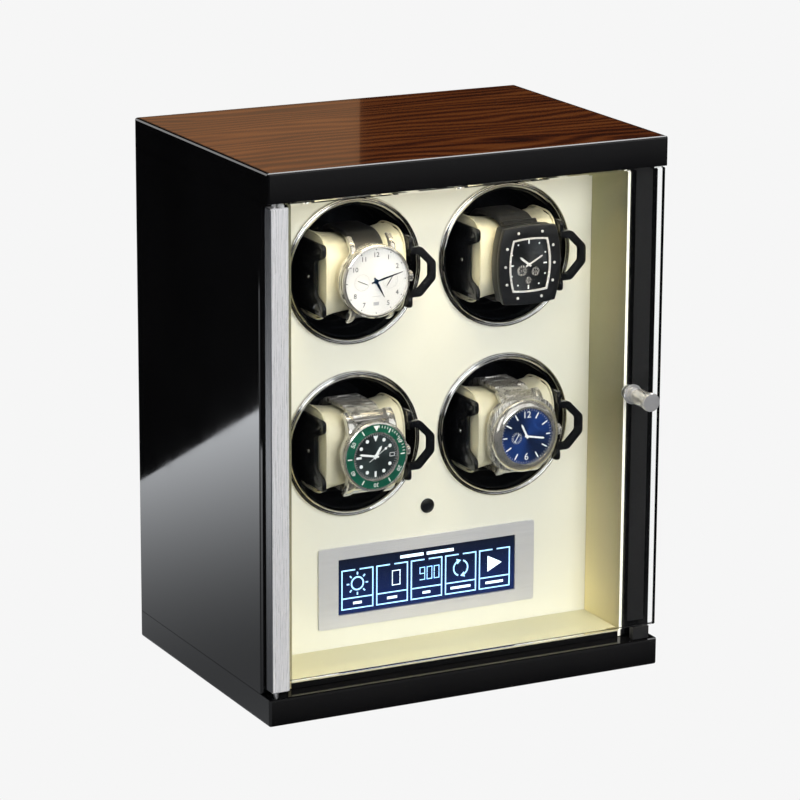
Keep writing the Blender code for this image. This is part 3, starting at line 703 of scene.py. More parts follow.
# ---- cabinet details ----------------------------------------------------------------------------
def make_knob():
    """Knob: flange on the glass, waist, cylinder and a wider flat end."""
    low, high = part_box("door_knob")
    glass_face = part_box("door_glass")[0].y
    reach = (glass_face - low.y) / MM
    radius = (high.x - low.x) / 2 / MM
    body_r = radius - 1.0
    end_r = radius - 0.4
    bore_r, bore_depth = 2.0, 9.5
    profile = [
        (0, reach), (end_r - 0.9, reach), (end_r - 0.25, reach - 0.12), (end_r, reach - 0.6),
        (end_r, reach - 2.9), (end_r - 0.15, reach - 3.25), (body_r + 0.1, reach - 3.45), (
            body_r, reach - 3.7,
        ),
        (body_r, 8.0), (body_r - 0.3, 7.6), (body_r - 0.7, 7.45), (3.3, 6.7), (3.0, 6.0), (3.0, 4.4),
        (3.3, 3.8), (4.1, 3.5), (4.3, 3.1), (4.3, 1.9), (4.5, 1.5), (radius - 0.3, 1.3), (radius, 1.0),
        (radius, 0.3), (bore_r, 0.3), (bore_r, bore_depth), (0, bore_depth),
    ]
    bm = bmesh.new()
    add_turned(bm, profile, 64)
    centre = middle_of("door_knob")
    place = Matrix.Translation((centre.x, glass_face, centre.z)) @ TOWARDS_VIEWER
    piece("knob", made("knob", bm), KNOB_CHROME, "door", "chrome", place, ["door_knob"])


def make_sensor():
    low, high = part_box("remote_sensor")
    centre = middle_of("remote_sensor")
    r = (high.x - low.x) / 2 / MM
    back = (PANEL_FACE - high.y) / MM
    profile = [
        (0, 0.55), (1.3, 0.62), (1.9, 0.80), (2.2, 0.70), (2.5, 0.72), (2.9, 1.15), (3.4, 1.35), (3.9, 1.20),
        (r, 0.75), (r, 0.3), (3.4, 0.3), (3.4, back), (0, back),
    ]
    bm = bmesh.new()
    add_turned(bm, profile, 48)
    place = Matrix.Translation((centre.x, PANEL_FACE, centre.z)) @ TOWARDS_VIEWER
    piece(
        "sensor_window", made("sensor_window", bm), GLOSS,
        "cabinet", "black_plastic", place, ["remote_sensor"],
    )


def make_rear_screws():
    """Cross-head screws near the rear panel's edge."""
    low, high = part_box("rear_panel")
    inset = 7 * MM
    profile = [(0, 0.25), (0.6, 0.45), (2.0, 0.75), (2.8, 0.55), (3.0, 0.2), (3.0, -0.4), (0, -0.4)]
    bm = bmesh.new()
    add_turned(bm, profile, 24)
    cuts = []
    for span in ((1.7, 0.32), (0.32, 1.7)):
        cutter = bmesh.new()
        add_block(cutter, (-span[0], -span[1], 0.1), (span[0], span[1], 2.0))
        cuts.append(("DIFFERENCE", made("cross", cutter)))
    head = joined("rear_screw", made("rear_screw", bm), cuts)
    middle = (low.z + high.z) / 2
    for row, z in (("low", low.z + inset), ("middle", middle), ("high", high.z - inset)):
        for side, x in (("left", low.x + inset), ("right", high.x - inset)):
            place = Matrix.Translation((x, high.y, z)) @ TOWARDS_BACK
            piece(f"rear_screw_{row}_{side}", head, STEEL, "cabinet", "steel", place)


# ---- touch screen -------------------------------------------------------------------------------
ZONES = 5
LINE = 0.75
GRAPHIC_THICK = 0.04


def add_bar(bm, left, bottom, right, top, face):
    add_block(bm, (left, bottom, face), (right, top, face + GRAPHIC_THICK))


def add_digit(bm, digit, x, y, wide, tall, face):
    """A seven-segment figure with its lower left corner at x, y."""
    half = tall / 2
    line = LINE * 0.95
    segments = {
        "a": (0, tall - line, wide, tall),
        "b": (wide - line, half, wide, tall),
        "c": (wide - line, 0, wide, half),
        "d": (0, 0, wide, line),
        "e": (0, 0, line, half),
        "f": (0, half, line, tall),
        "g": (0, half - line / 2, wide, half + line / 2),
    }
    lit = {"0": "abcdef", "9": "abcdfg"}[digit]
    trim = 0.12
    for name in lit:
        left, bottom, right, top = segments[name]
        add_bar(bm, x + left + trim, y + bottom + trim, x + right - trim, y + top - trim, face)


def make_screen():
    """Five outlined zones, each with a symbol above a plain label bar."""
    low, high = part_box("lcd_screen")
    wide = (high.x - low.x) / MM
    tall = (high.z - low.z) / MM
    face = (PANEL_FACE - low.y) / MM
    place = screen_frame()
    margin = 1.4
    pitch = (wide - 2 * margin) / ZONES
    zone_wide = pitch - 1.8
    bottom = -tall / 2 + 2.4
    divider = bottom + 6.4
    top = tall / 2 - 6.4
    middle = (divider + top) / 2
    label_wide = (5.5, 6.5, 5.0, 13.0, 11.5)
    lines = bmesh.new()
    marks = bmesh.new()
    centres = []
    for index in range(ZONES):
        left = -wide / 2 + margin + index * pitch + 0.4
        right = left + zone_wide
        centre = (left + right) / 2
        centres.append(centre)
        gap = 1.4
        add_bar(lines, left, bottom, left + LINE, top, face)
        add_bar(lines, right - LINE, bottom, right, top, face)
        add_bar(lines, left + LINE, bottom, right - LINE, bottom + LINE, face)
        add_bar(lines, left + LINE, divider, right - LINE, divider + LINE, face)
        add_bar(lines, left + LINE, top - LINE, centre - gap, top, face)
        add_bar(lines, centre + gap, top - LINE, right - LINE, top, face)
        half = label_wide[index] / 2
        label = (bottom + divider + LINE) / 2
        add_bar(marks, centre - half, label - 0.75, centre + half, label + 0.75, face)
    header = tall / 2 - 3.3
    add_bar(marks, -17.5, header - 0.9, -2.5, header + 0.9, face)
    add_bar(marks, -0.5, header - 0.9, 17.0, header + 0.9, face)

    sun = at(centres[0], middle)
    add_arc(lines, 3.3, 4.2, 0, 180, face, face + GRAPHIC_THICK, sun)
    add_arc(lines, 3.3, 4.2, 180, 360, face, face + GRAPHIC_THICK, sun)
    for ray in range(8):
        add_block(
            lines, (-0.42, 5.2, face), (0.42, 6.8, face + GRAPHIC_THICK), sun @ turned_about_z(45 * ray),
        )
    add_digit(marks, "0", centres[1] - 0.2, middle - 4.6, 5.6, 9.2, face)
    for place_in_row, digit in enumerate("900"):
        add_digit(lines, digit, centres[2] - 4.6 + 4.6 * place_in_row, middle - 4.0, 3.8, 8.0, face)
    turns = at(centres[3], middle)
    for start in (20, 200):
        add_arc(lines, 4.1, 5.0, start, start + 128, face, face + GRAPHIC_THICK, turns)
        tip = turns @ on_dial(start + 146, 4.55)
        arrow = [(1.4, -1.7), (1.4, 1.7), (-1.3, 0)]
        add_plate(lines, arrow[::-1], face, face + GRAPHIC_THICK, tip @ turned_about_z(180))
    play = [(-4.6, -4.8), (4.8, 0.0), (-4.6, 4.8)]
    add_plate(marks, play, face, face + GRAPHIC_THICK, at(centres[4], middle))
    piece("screen_outlines", made("screen_outlines", lines), GLOW, "cabinet", "screen", place)
    piece("screen_symbols", made("screen_symbols", marks), WHITE_GLOW, "cabinet", "screen", place)


# ---- winder places ------------------------------------------------------------------------------
def ring_mesh(radius, inner_r, collar):
    """Chrome trim ring: a broad outer moulding, a groove and a bright inner bead."""
    profile = [
        (radius, 0.3), (radius, 0.8), (radius - 0.25, 1.45), (radius - 0.75, 1.85), (radius - 1.35, 1.95),
        (radius - 1.75, 1.70), (radius - 1.95, 1.30), (radius - 2.15, 1.25), (radius - 2.35, 1.55),
        (radius - 2.65, 2.20), (radius - 3.05, 2.40), (radius - 3.45, 2.20), (inner_r + 0.03, 1.60),
        (inner_r, 1.0), (inner_r, -collar), (inner_r + 0.9, -collar), (inner_r + 0.9, 0.3),
    ]
    bm = bmesh.new()
    add_turned(bm, profile, 128, closed=True)
    return made("trim_ring", bm, 50)


def rotor_mesh():
    """Glossy bowl with stepped walls, and its hub, gear and shaft behind."""
    profile = [
        (0, -37.0), (17.6, -37.0), (17.9, -37.1), (18.2, -37.35), (25.2, -37.35), (25.7, -37.2), (
            26.0, -36.9,
        ),
        (27.6, -36.6), (29.8, -35.6), (31.4, -34.2), (32.5, -32.3), (33.4, -29.4), (34.2, -26.2),
        (34.4, -25.9), (34.9, -25.7), (35.1, -25.3), (35.7, -20.5), (36.1, -15.6), (36.25, -15.3),
        (36.6, -15.1), (36.75, -14.8), (37.0, -8.0), (37.1, -1.4), (37.25, -0.5), (37.5, 0.2), (37.85, 0.55),
        (38.12, 0.3), (38.2, -0.4), (38.2, -7.0), (37.2, -22.5), (34.0, -34.5), (27.5, -39.0), (12.0, -39.0),
        (12.0, -47.0), (4.0, -47.0), (4.0, -60.6), (3.6, -61.0), (0, -61.0),
    ]
    bowl = bmesh.new()
    add_turned(bowl, profile)
    gear = bmesh.new()
    add_plate(gear, gear_outline(28, 22.4, 19.2), -46.5, -41.5)
    socket = bmesh.new()
    add_block(socket, (-8.0, -6.0, -45.0), (8.0, 6.0, -30.0))
    steps = [("UNION", made("gear", gear)), ("DIFFERENCE", made("socket", socket))]
    return joined("rotor_bowl", made("rotor_bowl", bowl), steps)


def holder_mesh():
    """Moulded carrier: two hourglass end plates with a raised panel, a cross bar, plug and loop."""
    plate_inner, plate_outer = 25.35, 28.0
    half_plate = [
        (-32.0, 9.0), (-24.0, 9.2), (-18.2, 20.4), (20.0, 20.4), (20.0, 13.6), (9.5, 9.4),
    ]
    outline = rounded_polygon(both_halves(half_plate), 2.6)
    half_raised = [(-24.0, 6.2), (-15.8, 17.4), (17.0, 17.4), (17.0, 15.4), (6.6, 10.6)]
    raised = rounded_polygon(both_halves(half_raised), 2.0)
    steps = []
    for side in (-1, 1):
        plate = bmesh.new()
        low, high = sorted((-side * plate_inner, -side * plate_outer))
        add_plate(plate, outline, low, high)
        soften(plate, 0.75, 3)
        mesh = made("end_plate", plate)
        mesh.transform(SIDEWAYS)
        steps.append(("UNION", mesh))
        panel = bmesh.new()
        low, high = sorted((-side * (plate_outer - 0.4), -side * (plate_outer + 0.45)))
        add_plate(panel, raised, low, high)
        soften(panel, 0.35, 2)
        mesh = made("raised_panel", panel)
        mesh.transform(SIDEWAYS)
        steps.append(("UNION", mesh))
    bar = bmesh.new()
    add_block(bar, (-26.8, -7.9, -32.2), (26.8, 7.9, -28.3))
    soften(bar, 0.6)
    plug = bmesh.new()
    add_block(plug, (-7.6, -5.6, -44.4), (7.6, 5.6, -30.0))
    soften(plug, 0.5)
    loop = bmesh.new()
    outer = rounded_polygon(both_halves([(26.4, 14.3), (33.5, 14.3), (42.5, 5.0)]), 1.6, 3)
    inner = rounded_polygon(both_halves([(26.4, 10.3), (31.8, 10.3), (38.5, 3.5)]), 1.0, 3)
    add_frame(loop, outer, inner, 16.0, 19.5)
    soften(loop, 0.9, 3, 50)
    steps += [("UNION", made("plug", plug)), ("UNION", made("loop", loop))]
    return joined("holder", made("holder", bar), steps)


def rivet_mesh():
    """The small bright pin at the middle of each end plate."""
    bm = bmesh.new()
    profile = [(0, 0.75), (0.6, 0.68), (1.0, 0.42), (1.15, 0.0), (1.15, -0.5), (0, -0.5)]
    for side in (-1, 1):
        place = at(side * 28.4, 0, 3.0) @ Matrix.Rotation(math.radians(90 * side), 4, "Y")
        add_turned(bm, profile, 20, place=place)
    return made("rivets", bm)


PILLOW_HALF = 24.7
HELD_ENDS, HELD_BACK = 1.2, -21.0
CLOTH_FRAMES = 20
MOST_SWELL = 1.1
UNDER_STRAP = 10.6
STRAP_ROOM_UP, STRAP_ROOM_FRONT, STRAP_ROOM_BACK = 22.2, 19.2, -23.8


def pillow_section(share):
    """Half height, front and back of the pillow at a share of its half length: a saddle."""
    flare = abs(share) ** 2.4
    half_up = 20.6 + 3.6 * flare
    front = 18.4 - 0.9 * flare
    back = -23.0 + 1.8 * flare
    return half_up, front, back


def section_outline(share, steps=40, power=3.4):
    half_up, front, back = pillow_section(share)
    middle, half_deep = (front + back) / 2, (front - back) / 2
    points = []
    for up, deep in cushion_outline(1.0, power, steps):
        points.append((up * half_up, middle + deep * half_deep))
    return points


def pillow_mesh():
    """A stuffed saddle: the cover is grown from a slightly slack form by cloth under pressure."""
    stations = 20
    bm = bmesh.new()
    rows = []
    for index in range(stations + 1):
        share = 2 * index / stations - 1
        x = share * PILLOW_HALF
        rows.append([bm.verts.new(Vector((x, y, z)) * MM) for y, z in section_outline(share)])
    count = len(rows[0])
    for near, far in zip(rows, rows[1:]):
        for i in range(count):
            j = (i + 1) % count
            bm.faces.new((near[i], near[j], far[j], far[i]))
    bm.faces.new(rows[0])
    bm.faces.new(rows[-1])
    mesh = made("pillow_cover", bm)
    scene = bpy.context.scene
    cover = bpy.data.objects.new("pillow_cover", mesh)
    scene.collection.objects.link(cover)
    remesh = cover.modifiers.new("even", "REMESH")
    remesh.mode = "VOXEL"
    remesh.voxel_size = 1.7 * MM
    grown = stuffed(cover)
    grown.shade_smooth()
    return grown


def stuffed(cover):
    """Applies the remesh, then lets pressure round the cover, within what touches it."""
    scene = bpy.context.scene
    depsgraph = bpy.context.evaluated_depsgraph_get()
    mesh = bpy.data.meshes.new_from_object(cover.evaluated_get(depsgraph))
    cover.modifiers.clear()
    cover.data = mesh
    rest = [v.co.copy() for v in mesh.vertices]
    held = cover.vertex_groups.new(name="held")
    for v in mesh.vertices:
        at_end = abs(v.co.x) > (PILLOW_HALF - HELD_ENDS) * MM
        at_back = v.co.z < HELD_BACK * MM
        held.add([v.index], 1.0 if at_end or at_back else 0.0, "REPLACE")
    cloth = cover.modifiers.new("cloth", "CLOTH")
    cloth.settings.quality = 6
    cloth.settings.mass = 0.15
    cloth.settings.tension_stiffness = 12
    cloth.settings.compression_stiffness = 12
    cloth.settings.bending_stiffness = 0.4
    cloth.settings.use_pressure = True
    cloth.settings.uniform_pressure_force = 4.0
    cloth.settings.vertex_group_mass = "held"
    cloth.settings.effector_weights.gravity = 0.0
    cloth.collision_settings.use_collision = False
    for number in range(1, CLOTH_FRAMES + 1):
        scene.frame_set(number)
    depsgraph = bpy.context.evaluated_depsgraph_get()
    shaped = cover.evaluated_get(depsgraph).to_mesh()
    moved = [v.co.copy() for v in shaped.vertices]
    cover.evaluated_get(depsgraph).to_mesh_clear()
    cover.modifiers.clear()
    scene.frame_set(1)
    most = MOST_SWELL * MM
    for vertex, start, end in zip(mesh.vertices, rest, moved):
        step = end - start
        if step.length > most:
            step = step.normalized() * most
        vertex.co = start + step
    up, front, back = STRAP_ROOM_UP * MM, STRAP_ROOM_FRONT * MM, STRAP_ROOM_BACK * MM
    for vertex in mesh.vertices:
        if abs(vertex.co.x) < UNDER_STRAP * MM:
            vertex.co.y = max(-up, min(up, vertex.co.y))
            vertex.co.z = max(back, min(front, vertex.co.z))
    finer = cover.modifiers.new("finer", "SUBSURF")
    finer.levels = 1
    bpy.context.view_layer.update()
    depsgraph = bpy.context.evaluated_depsgraph_get()
    grown = bpy.data.meshes.new_from_object(cover.evaluated_get(depsgraph))
    bpy.data.objects.remove(cover)
    grown.name = "pillow_cover"
    return grown


def tube_along(bm, points, radius, sides=8):
    """A closed round cord through points."""
    count = len(points)
    rings = []
    for i in range(count):
        here = Vector(points[i])
        along = (Vector(points[(i + 1) % count]) - Vector(points[i - 1])).normalized()
        side = Vector((1, 0, 0))
        out = side.cross(along).normalized()
        ring = []
        for k in range(sides):
            turn = 2 * math.pi * k / sides
            spot = here + side * radius * math.cos(turn) + out * radius * math.sin(turn)
            ring.append(bm.verts.new(spot * MM))
        rings.append(ring)
    for near, far in zip(rings, rings[1:] + rings[:1]):
        for k in range(sides):
            j = (k + 1) % sides
            bm.faces.new((near[k], near[j], far[j], far[k]))


def piping_mesh():
    """The sewn welt round each end of the pillow."""
    bm = bmesh.new()
    for side in (-1, 1):
        points = [(side * (PILLOW_HALF - 0.5), y, z) for y, z in section_outline(1.0, 80)]
        tube_along(bm, points, 0.55)
    return made("pillow_piping", bm)


# ---- watches ------------------------------------------------------------------------------------
HAND_HUB = [(0, 0.8), (0.7, 0.75), (0.9, 0.6), (0.9, 0.1), (0, 0.1)]
LOOP_FRONT, LOOP_BACK, LOOP_UP, LOOP_CORNER = 20.9, -25.3, 23.9, 15.2


def loop_points(count):
    """Evenly spaced points round the strap's loop, each with its outward direction."""
    reach_y = LOOP_UP - LOOP_CORNER
    front_z, back_z = LOOP_FRONT - LOOP_CORNER, LOOP_BACK + LOOP_CORNER
    quarter = math.pi / 2 * LOOP_CORNER
    centres = [
        Vector(c) for c in ((reach_y, front_z), (reach_y, back_z), (-reach_y, back_z), (-reach_y, front_z))
    ]
    outwards = [Vector(out) for out in ((0, 1), (1, 0), (0, -1), (-1, 0))]
    sides = [(centres[k] - centres[k - 1]).length for k in range(4)]
    total = sum(sides) + 4 * quarter
    points = []
    for index in range(count):
        s = (total * index / count + reach_y) % total
        for k in range(4):
            straight, out, following = sides[k], outwards[k], outwards[(k + 1) % 4]
            if s <= straight:
                spot = centres[k - 1] + following * s
                break
            s -= straight
            if s <= quarter:
                turn = s / LOOP_CORNER
                out = out * math.cos(turn) + following * math.sin(turn)
                spot = centres[k]
                break
            s -= quarter
        points.append((*(spot + out * LOOP_CORNER), *out))
    return points


def strap_mesh(name, half_wide, thick, padding):
    """A leather or rubber strap: flat lining, padded middle and rounded edges."""
    t = thick / 2
    section = [
        (-half_wide, -t * 0.7), (-half_wide, t * 0.3), (-half_wide + 0.8, t), (
            -half_wide * 0.45, t + padding,
        ),
        (half_wide * 0.45, t + padding), (half_wide - 0.8, t), (half_wide, t * 0.3), (half_wide, -t * 0.7),
        (half_wide - 0.5, -t), (-half_wide + 0.5, -t),
    ]
    bm = bmesh.new()
    add_sweep(bm, loop_points(72), section, closed=True)
    return made(name, bm, 50)


def stitching_mesh(half_wide, height):
    """Short stitches along both edges of the strap."""
    bm = bmesh.new()
    for y, z, out_y, out_z in loop_points(84):
        for side in (-1, 1):
            turn = math.atan2(out_y, out_z)
            place = at(side * (half_wide - 1.6), y + out_y * height, z + out_z * height)
            place = place @ Matrix.Rotation(-turn, 4, "X")
            add_block(bm, (-0.18, -0.55, -0.08), (0.18, 0.55, 0.10), place)
    soften(bm, 0.06, 1)
    return made("strap_stitching", bm)


def bracelet_mesh(name, count, rows, thick, gap=0.22, edge=0.35):
    """Links round the loop. Each row is (left, right, shift along the loop in links)."""
    bm = bmesh.new()
    fine = 8
    points = loop_points(count * fine)
    total = len(points)
    pitch = 0.0
    for near, far in zip(points, points[1:] + points[:1]):
        pitch += math.dist(near[:2], far[:2])
    pitch /= count
    for index in range(count):
        for left, right, shift in rows:
            y, z, out_y, out_z = points[round((index + shift) * fine) % total]
            turn = math.atan2(out_y, out_z)
            place = at(0, y, z) @ Matrix.Rotation(-turn, 4, "X")
            half = (pitch - gap) / 2
            low = (left + gap / 2, -half, -thick / 2)
            high = (right - gap / 2, half, thick / 2)
            add_block(bm, low, high, place)
    soften(bm, edge, 2)
    return made(name, bm)


def add_lugs(bm, inner_x, outer_x, path):
    """Four horns that run from the case down to the strap, along (y, z, half thickness) points."""
    for side in (-1, 1):
        for end in (-1, 1):
            rings = []
            for y, z, half in path:
                corners = [(inner_x, -half), (outer_x, -half), (outer_x, half), (inner_x, half)]
                lean = 0.35
                ring = []
                for x, t in corners:
                    ring.append(bm.verts.new(Vector((side * x, end * (y + t * lean), z + t)) * MM))
                rings.append(ring)
            for near, far in zip(rings, rings[1:]):
                for i in range(4):
                    j = (i + 1) % 4
                    bm.faces.new((near[i], near[j], far[j], far[i]))
            bm.faces.new(rings[0])
            bm.faces.new(rings[-1])


def add_crown(bm, start, end, radius, height, teeth=22):
    """A fluted crown on the right of the case, with its stem."""
    place = at(0, 0, height) @ TO_THE_RIGHT
    add_plate(bm, gear_outline(teeth, radius, radius - 0.3), start + 0.7, end - 0.3, place)
    cap = [
        (0, end), (radius - 1.0, end), (radius - 0.4, end - 0.3), (radius - 0.4, end - 0.6), (0, end - 0.6),
    ]
    add_turned(bm, cap, 24, place=place)
    add_turned(
        bm, [(0, start - 2.0), (1.7, start - 2.0), (1.7, start + 0.9), (0, start + 0.9)], 20, place=place,
    )


def add_hand(bm, degrees, outline, low, high, centre=IDENTITY):
    add_plate(bm, outline, low, high, centre @ turned_about_z(-degrees))


def disc_mesh(name, radius, low, high, steps=72):
    bm = bmesh.new()
    add_turned(bm, [(0, high), (radius, high), (radius, low), (0, low)], steps)
    return made(name, bm)


def crystal_mesh(radius, low, high):
    bm = bmesh.new()
    rise = high - low
    profile = [
        (0, high), (radius * 0.5, high - rise * 0.10), (radius * 0.85, high - rise * 0.32),
        (radius, low + rise * 0.40), (radius, low), (0, low),
    ]
    add_turned(bm, profile, 72)
    return made("crystal", bm)


def leaf(long, wide, tail):
    """A slim hand, widest a third of the way out."""
    return [
        (-wide * 0.35, -tail), (wide * 0.35, -tail), (wide / 2, long * 0.3),
        (0.12, long), (-0.12, long), (-wide / 2, long * 0.3),
    ]


def baton(long, wide, tail):
    return [
        (-wide / 2, -tail), (wide / 2, -tail), (wide / 2, long - wide), (0, long), (-wide / 2, long - wide),
    ]


def add_end_links(bm, half_wide, half_long, y, z, tilt):
    """A block at each end of the case, tilted down towards the strap."""
    for end in (-1, 1):
        place = at(0, end * y, z) @ Matrix.Rotation(-end * tilt, 4, "X")
        add_block(bm, (-half_wide, -half_long, -1.9), (half_wide, half_long, 1.9), place)


class Watch:
    """One watch on its holder. Its pieces are drawn in the cup's frame."""

    def __init__(self, style, name, slot, place):
        self.style, self.name, self.slot, self.place = style, name, slot, place

    def add(self, kind, shape, finish, stands_for=()):
        mesh = shape if isinstance(shape, bpy.types.Mesh) else made(f"{self.style}_{kind}", shape)
        name = f"watch_{kind}_{self.name}"
        return piece(name, mesh, finish, f"holder_{self.name}", self.slot, self.place, stands_for)

    def add_crystal(self, radius, low, high):
        self.add("crystal", crystal_mesh(radius, low, high), CRYSTAL).visible_shadow = False


def dress_watch(name, place):
    """Polished round case, white dial with two small dials, on a black strap."""
    watch = Watch("dress", name, "watch_white", place)
    case = bmesh.new()
    profile = [
        (0, 20.0), (17.5, 20.0), (19.2, 21.0), (20.2, 22.6), (20.6, 24.6), (20.4, 26.8), (19.8, 28.2),
        (20.3, 28.5), (20.8, 29.2), (20.7, 30.1), (20.0, 30.9), (19.3, 31.1), (19.0, 30.9), (18.9, 30.0),
        (18.6, 29.6), (0, 29.6),
    ]
    add_turned(case, profile, 96)
    lugs = bmesh.new()
    add_lugs(lugs, 10.7, 13.6, [(13.5, 25.2, 2.0), (18.0, 24.6, 1.9), (21.6, 22.3, 1.6), (24.2, 18.8, 1.2)])
    soften(lugs, 0.5, 2, 30)
    merge(case, lugs)
    add_crown(case, 20.6, 24.2, 3.0, 25.2)
    watch.add("case", case, POLISHED_STEEL, [f"watch_{name}"])
    watch.add("dial", disc_mesh("dress_dial", 18.7, 29.4, 29.8), WHITE_DIAL)
    ink = bmesh.new()
    grey = bmesh.new()
    face = 29.8
    for hour, numeral in (
        (12, "12"), (1, "1"), (2, "2"), (4, "4"), (5, "5"), (7, "7"), (8, "8"), (10, "10"), (11, "11"),
    ):
        spot = on_dial(hour * 30, 14.9).translation
        add_text(ink, numeral, 3.9, Matrix.Translation(spot) @ at(0, 0, face + 0.05))
    for minute in range(60):
        if minute % 5:
            add_block(grey, (-0.07, -0.35, face), (0.07, 0.35, face + 0.06), on_dial(minute * 6, 17.9))
        else:
            add_turned(
                ink, [(0, 0.10), (0.36, 0.10), (0.36, 0), (0, 0)], 10, place=on_dial(minute * 6, 17.9, face),
            )
    small_dials = []
    for side in (-1, 1):
        centre = at(side * 8.6, 0, face)
        small_dials.append(centre)
        add_turned(grey, [(4.5, 0.05), (4.7, 0.05), (4.7, 0), (4.5, 0)], 40, closed=True, place=centre)
        for tick in range(12):
            add_block(grey, (-0.06, 3.3, 0), (0.06, 4.2, 0.05), centre @ turned_about_z(30 * tick))
    add_block(grey, (-1.7, -13.6, face), (1.7, -11.6, face + 0.05))
    add_block(grey, (-2.6, -8.6, face), (2.6, -8.4, face + 0.05))
    watch.add("print", ink, INK)
    watch.add("scale", grey, PALE_INK)
    hands = bmesh.new()
    add_hand(hands, 76, leaf(16.8, 1.15, 3.0), 30.25, 30.37)
    add_hand(hands, 152, leaf(10.6, 1.5, 2.4), 30.02, 30.16)
    add_turned(hands, [(0, 30.55), (0.8, 30.5), (1.35, 30.35), (1.35, 29.9), (0, 29.9)], 24)
    add_hand(hands, 114, leaf(3.9, 0.45, 3.0), 0.12, 0.22, small_dials[0])
    add_hand(hands, 214, leaf(3.9, 0.45, 3.0), 0.12, 0.22, small_dials[1])
    watch.add("hands", hands, BLUED)
    watch.add_crystal(18.8, 30.7, 31.35)
    strap = strap_mesh("dress_strap", 10.0, 2.4, 0.5)
    watch.add("strap", strap, BLACK_LEATHER)
    watch.add("stitching", stitching_mesh(10.0, 1.3), INK)


def tonneau_watch(name, place):
    """Black barrel-shaped case with plain screws, a dark dial and silver hands, on a black strap."""
    watch = Watch("tonneau", name, "watch_black", place)
    outer = tonneau_outline(16.4, 21.6, 3.3)
    middle = [(x * 0.965, y * 0.975) for x, y in outer]
    window = [(x * 0.64, y * 0.66) for x, y in outer]
    case = bmesh.new()
    add_frame(case, middle, [(x * 0.92, y * 0.92) for x, y in window], 20.2, 27.6)
    add_frame(case, outer, window, 27.8, 31.0)
    soften(case, 0.55, 3, 50)
    add_plate(case, [(x * 0.9, y * 0.9) for x, y in middle], 20.0, 21.0)
    add_crown(case, 19.2, 22.6, 2.9, 24.6, 16)
    watch.add("case", case, BLACK_CASE, [f"watch_{name}"])
    rim = bmesh.new()
    add_frame(
        rim, [(x * 1.05, y * 1.04) for x, y in window],
        [(x * 0.965, y * 0.975) for x, y in window], 30.5, 31.3
    )
    screws = [
        (x, y * end) for x, y in ((7.6, 18.6), (-7.6, 18.6), (14.6, 10.2), (-14.6, 10.2)) for end in (-1, 1)
    ]
    for x, y in screws + [(-15.6, 0), (15.6, 0)]:
        head = [(0, 31.2), (0.35, 31.35), (0.75, 31.3), (0.85, 31.0), (0, 31.0)]
        add_turned(rim, head, 12, place=at(x, y))
    watch.add("rim", rim, BRIGHT_STEEL)
    dial = bmesh.new()
    add_plate(dial, [(x * 0.99, y * 0.99) for x, y in window], 27.0, 29.2)
    watch.add("dial", dial, DARK_DIAL)
    face = 29.2
    marks = bmesh.new()
    for hour in range(12):
        direction = on_dial(hour * 30, 1.0).translation / MM
        reach = 1 / max(abs(direction.x) / 10.6, abs(direction.y) / 13.0)
        spot = direction * min(reach, 13.4)
        if hour % 3:
            add_turned(marks, [(0, 0.16), (0.45, 0.12), (0.5, 0), (0, 0)], 12, place=at(spot.x, spot.y, face))
        else:
            add_block(
                marks, (-0.4, -1.1, 0), (0.4, 1.1, 0.16),
                at(spot.x, spot.y, face) @ turned_about_z(-30 * hour),
            )
    watch.add("markers", marks, LUME)
    works = bmesh.new()
    for x, y, radius, teeth in ((-4.2, -3.4, 3.2, 30), (4.4, -4.4, 2.6, 24), (0.0, -9.2, 2.1, 20)):
        outline = gear_outline(teeth, radius, radius - 0.35)
        hole = [(px * 0.62, py * 0.62) for px, py in outline]
        add_frame(works, outline, hole, face, face + 0.22, at(x, y))
        for spoke in range(3):
            arm = at(x, y) @ turned_about_z(60 * spoke)
            add_block(works, (-0.22, -radius * 0.66, face), (0.22, radius * 0.66, face + 0.20), arm)
    watch.add("wheels", works, BRUSHED_STEEL)
    hands = bmesh.new()
    add_hand(hands, 62, baton(10.0, 0.9, 2.2), face + 0.55, face + 0.68)
    add_hand(hands, 308, baton(7.4, 1.2, 1.8), face + 0.35, face + 0.48)
    add_turned(hands, HAND_HUB, 20, place=at(0, 0, face))
    watch.add("hands", hands, BRIGHT_STEEL)
    glass = bmesh.new()
    add_plate(glass, [(x * 0.955, y * 0.965) for x, y in window], 30.3, 31.0)
    soften(glass, 0.15, 1)
    watch.add("crystal", glass, CRYSTAL).visible_shadow = False
    strap = strap_mesh("tonneau_strap", 10.6, 2.8, 0.15)
    watch.add("strap", strap, RUBBER)
    links = bmesh.new()
    add_end_links(links, 10.8, 3.2, 20.2, 18.6, 0.85)
    soften(links, 0.7, 3)
    watch.add("strap_ends", links, BLACK_CASE)


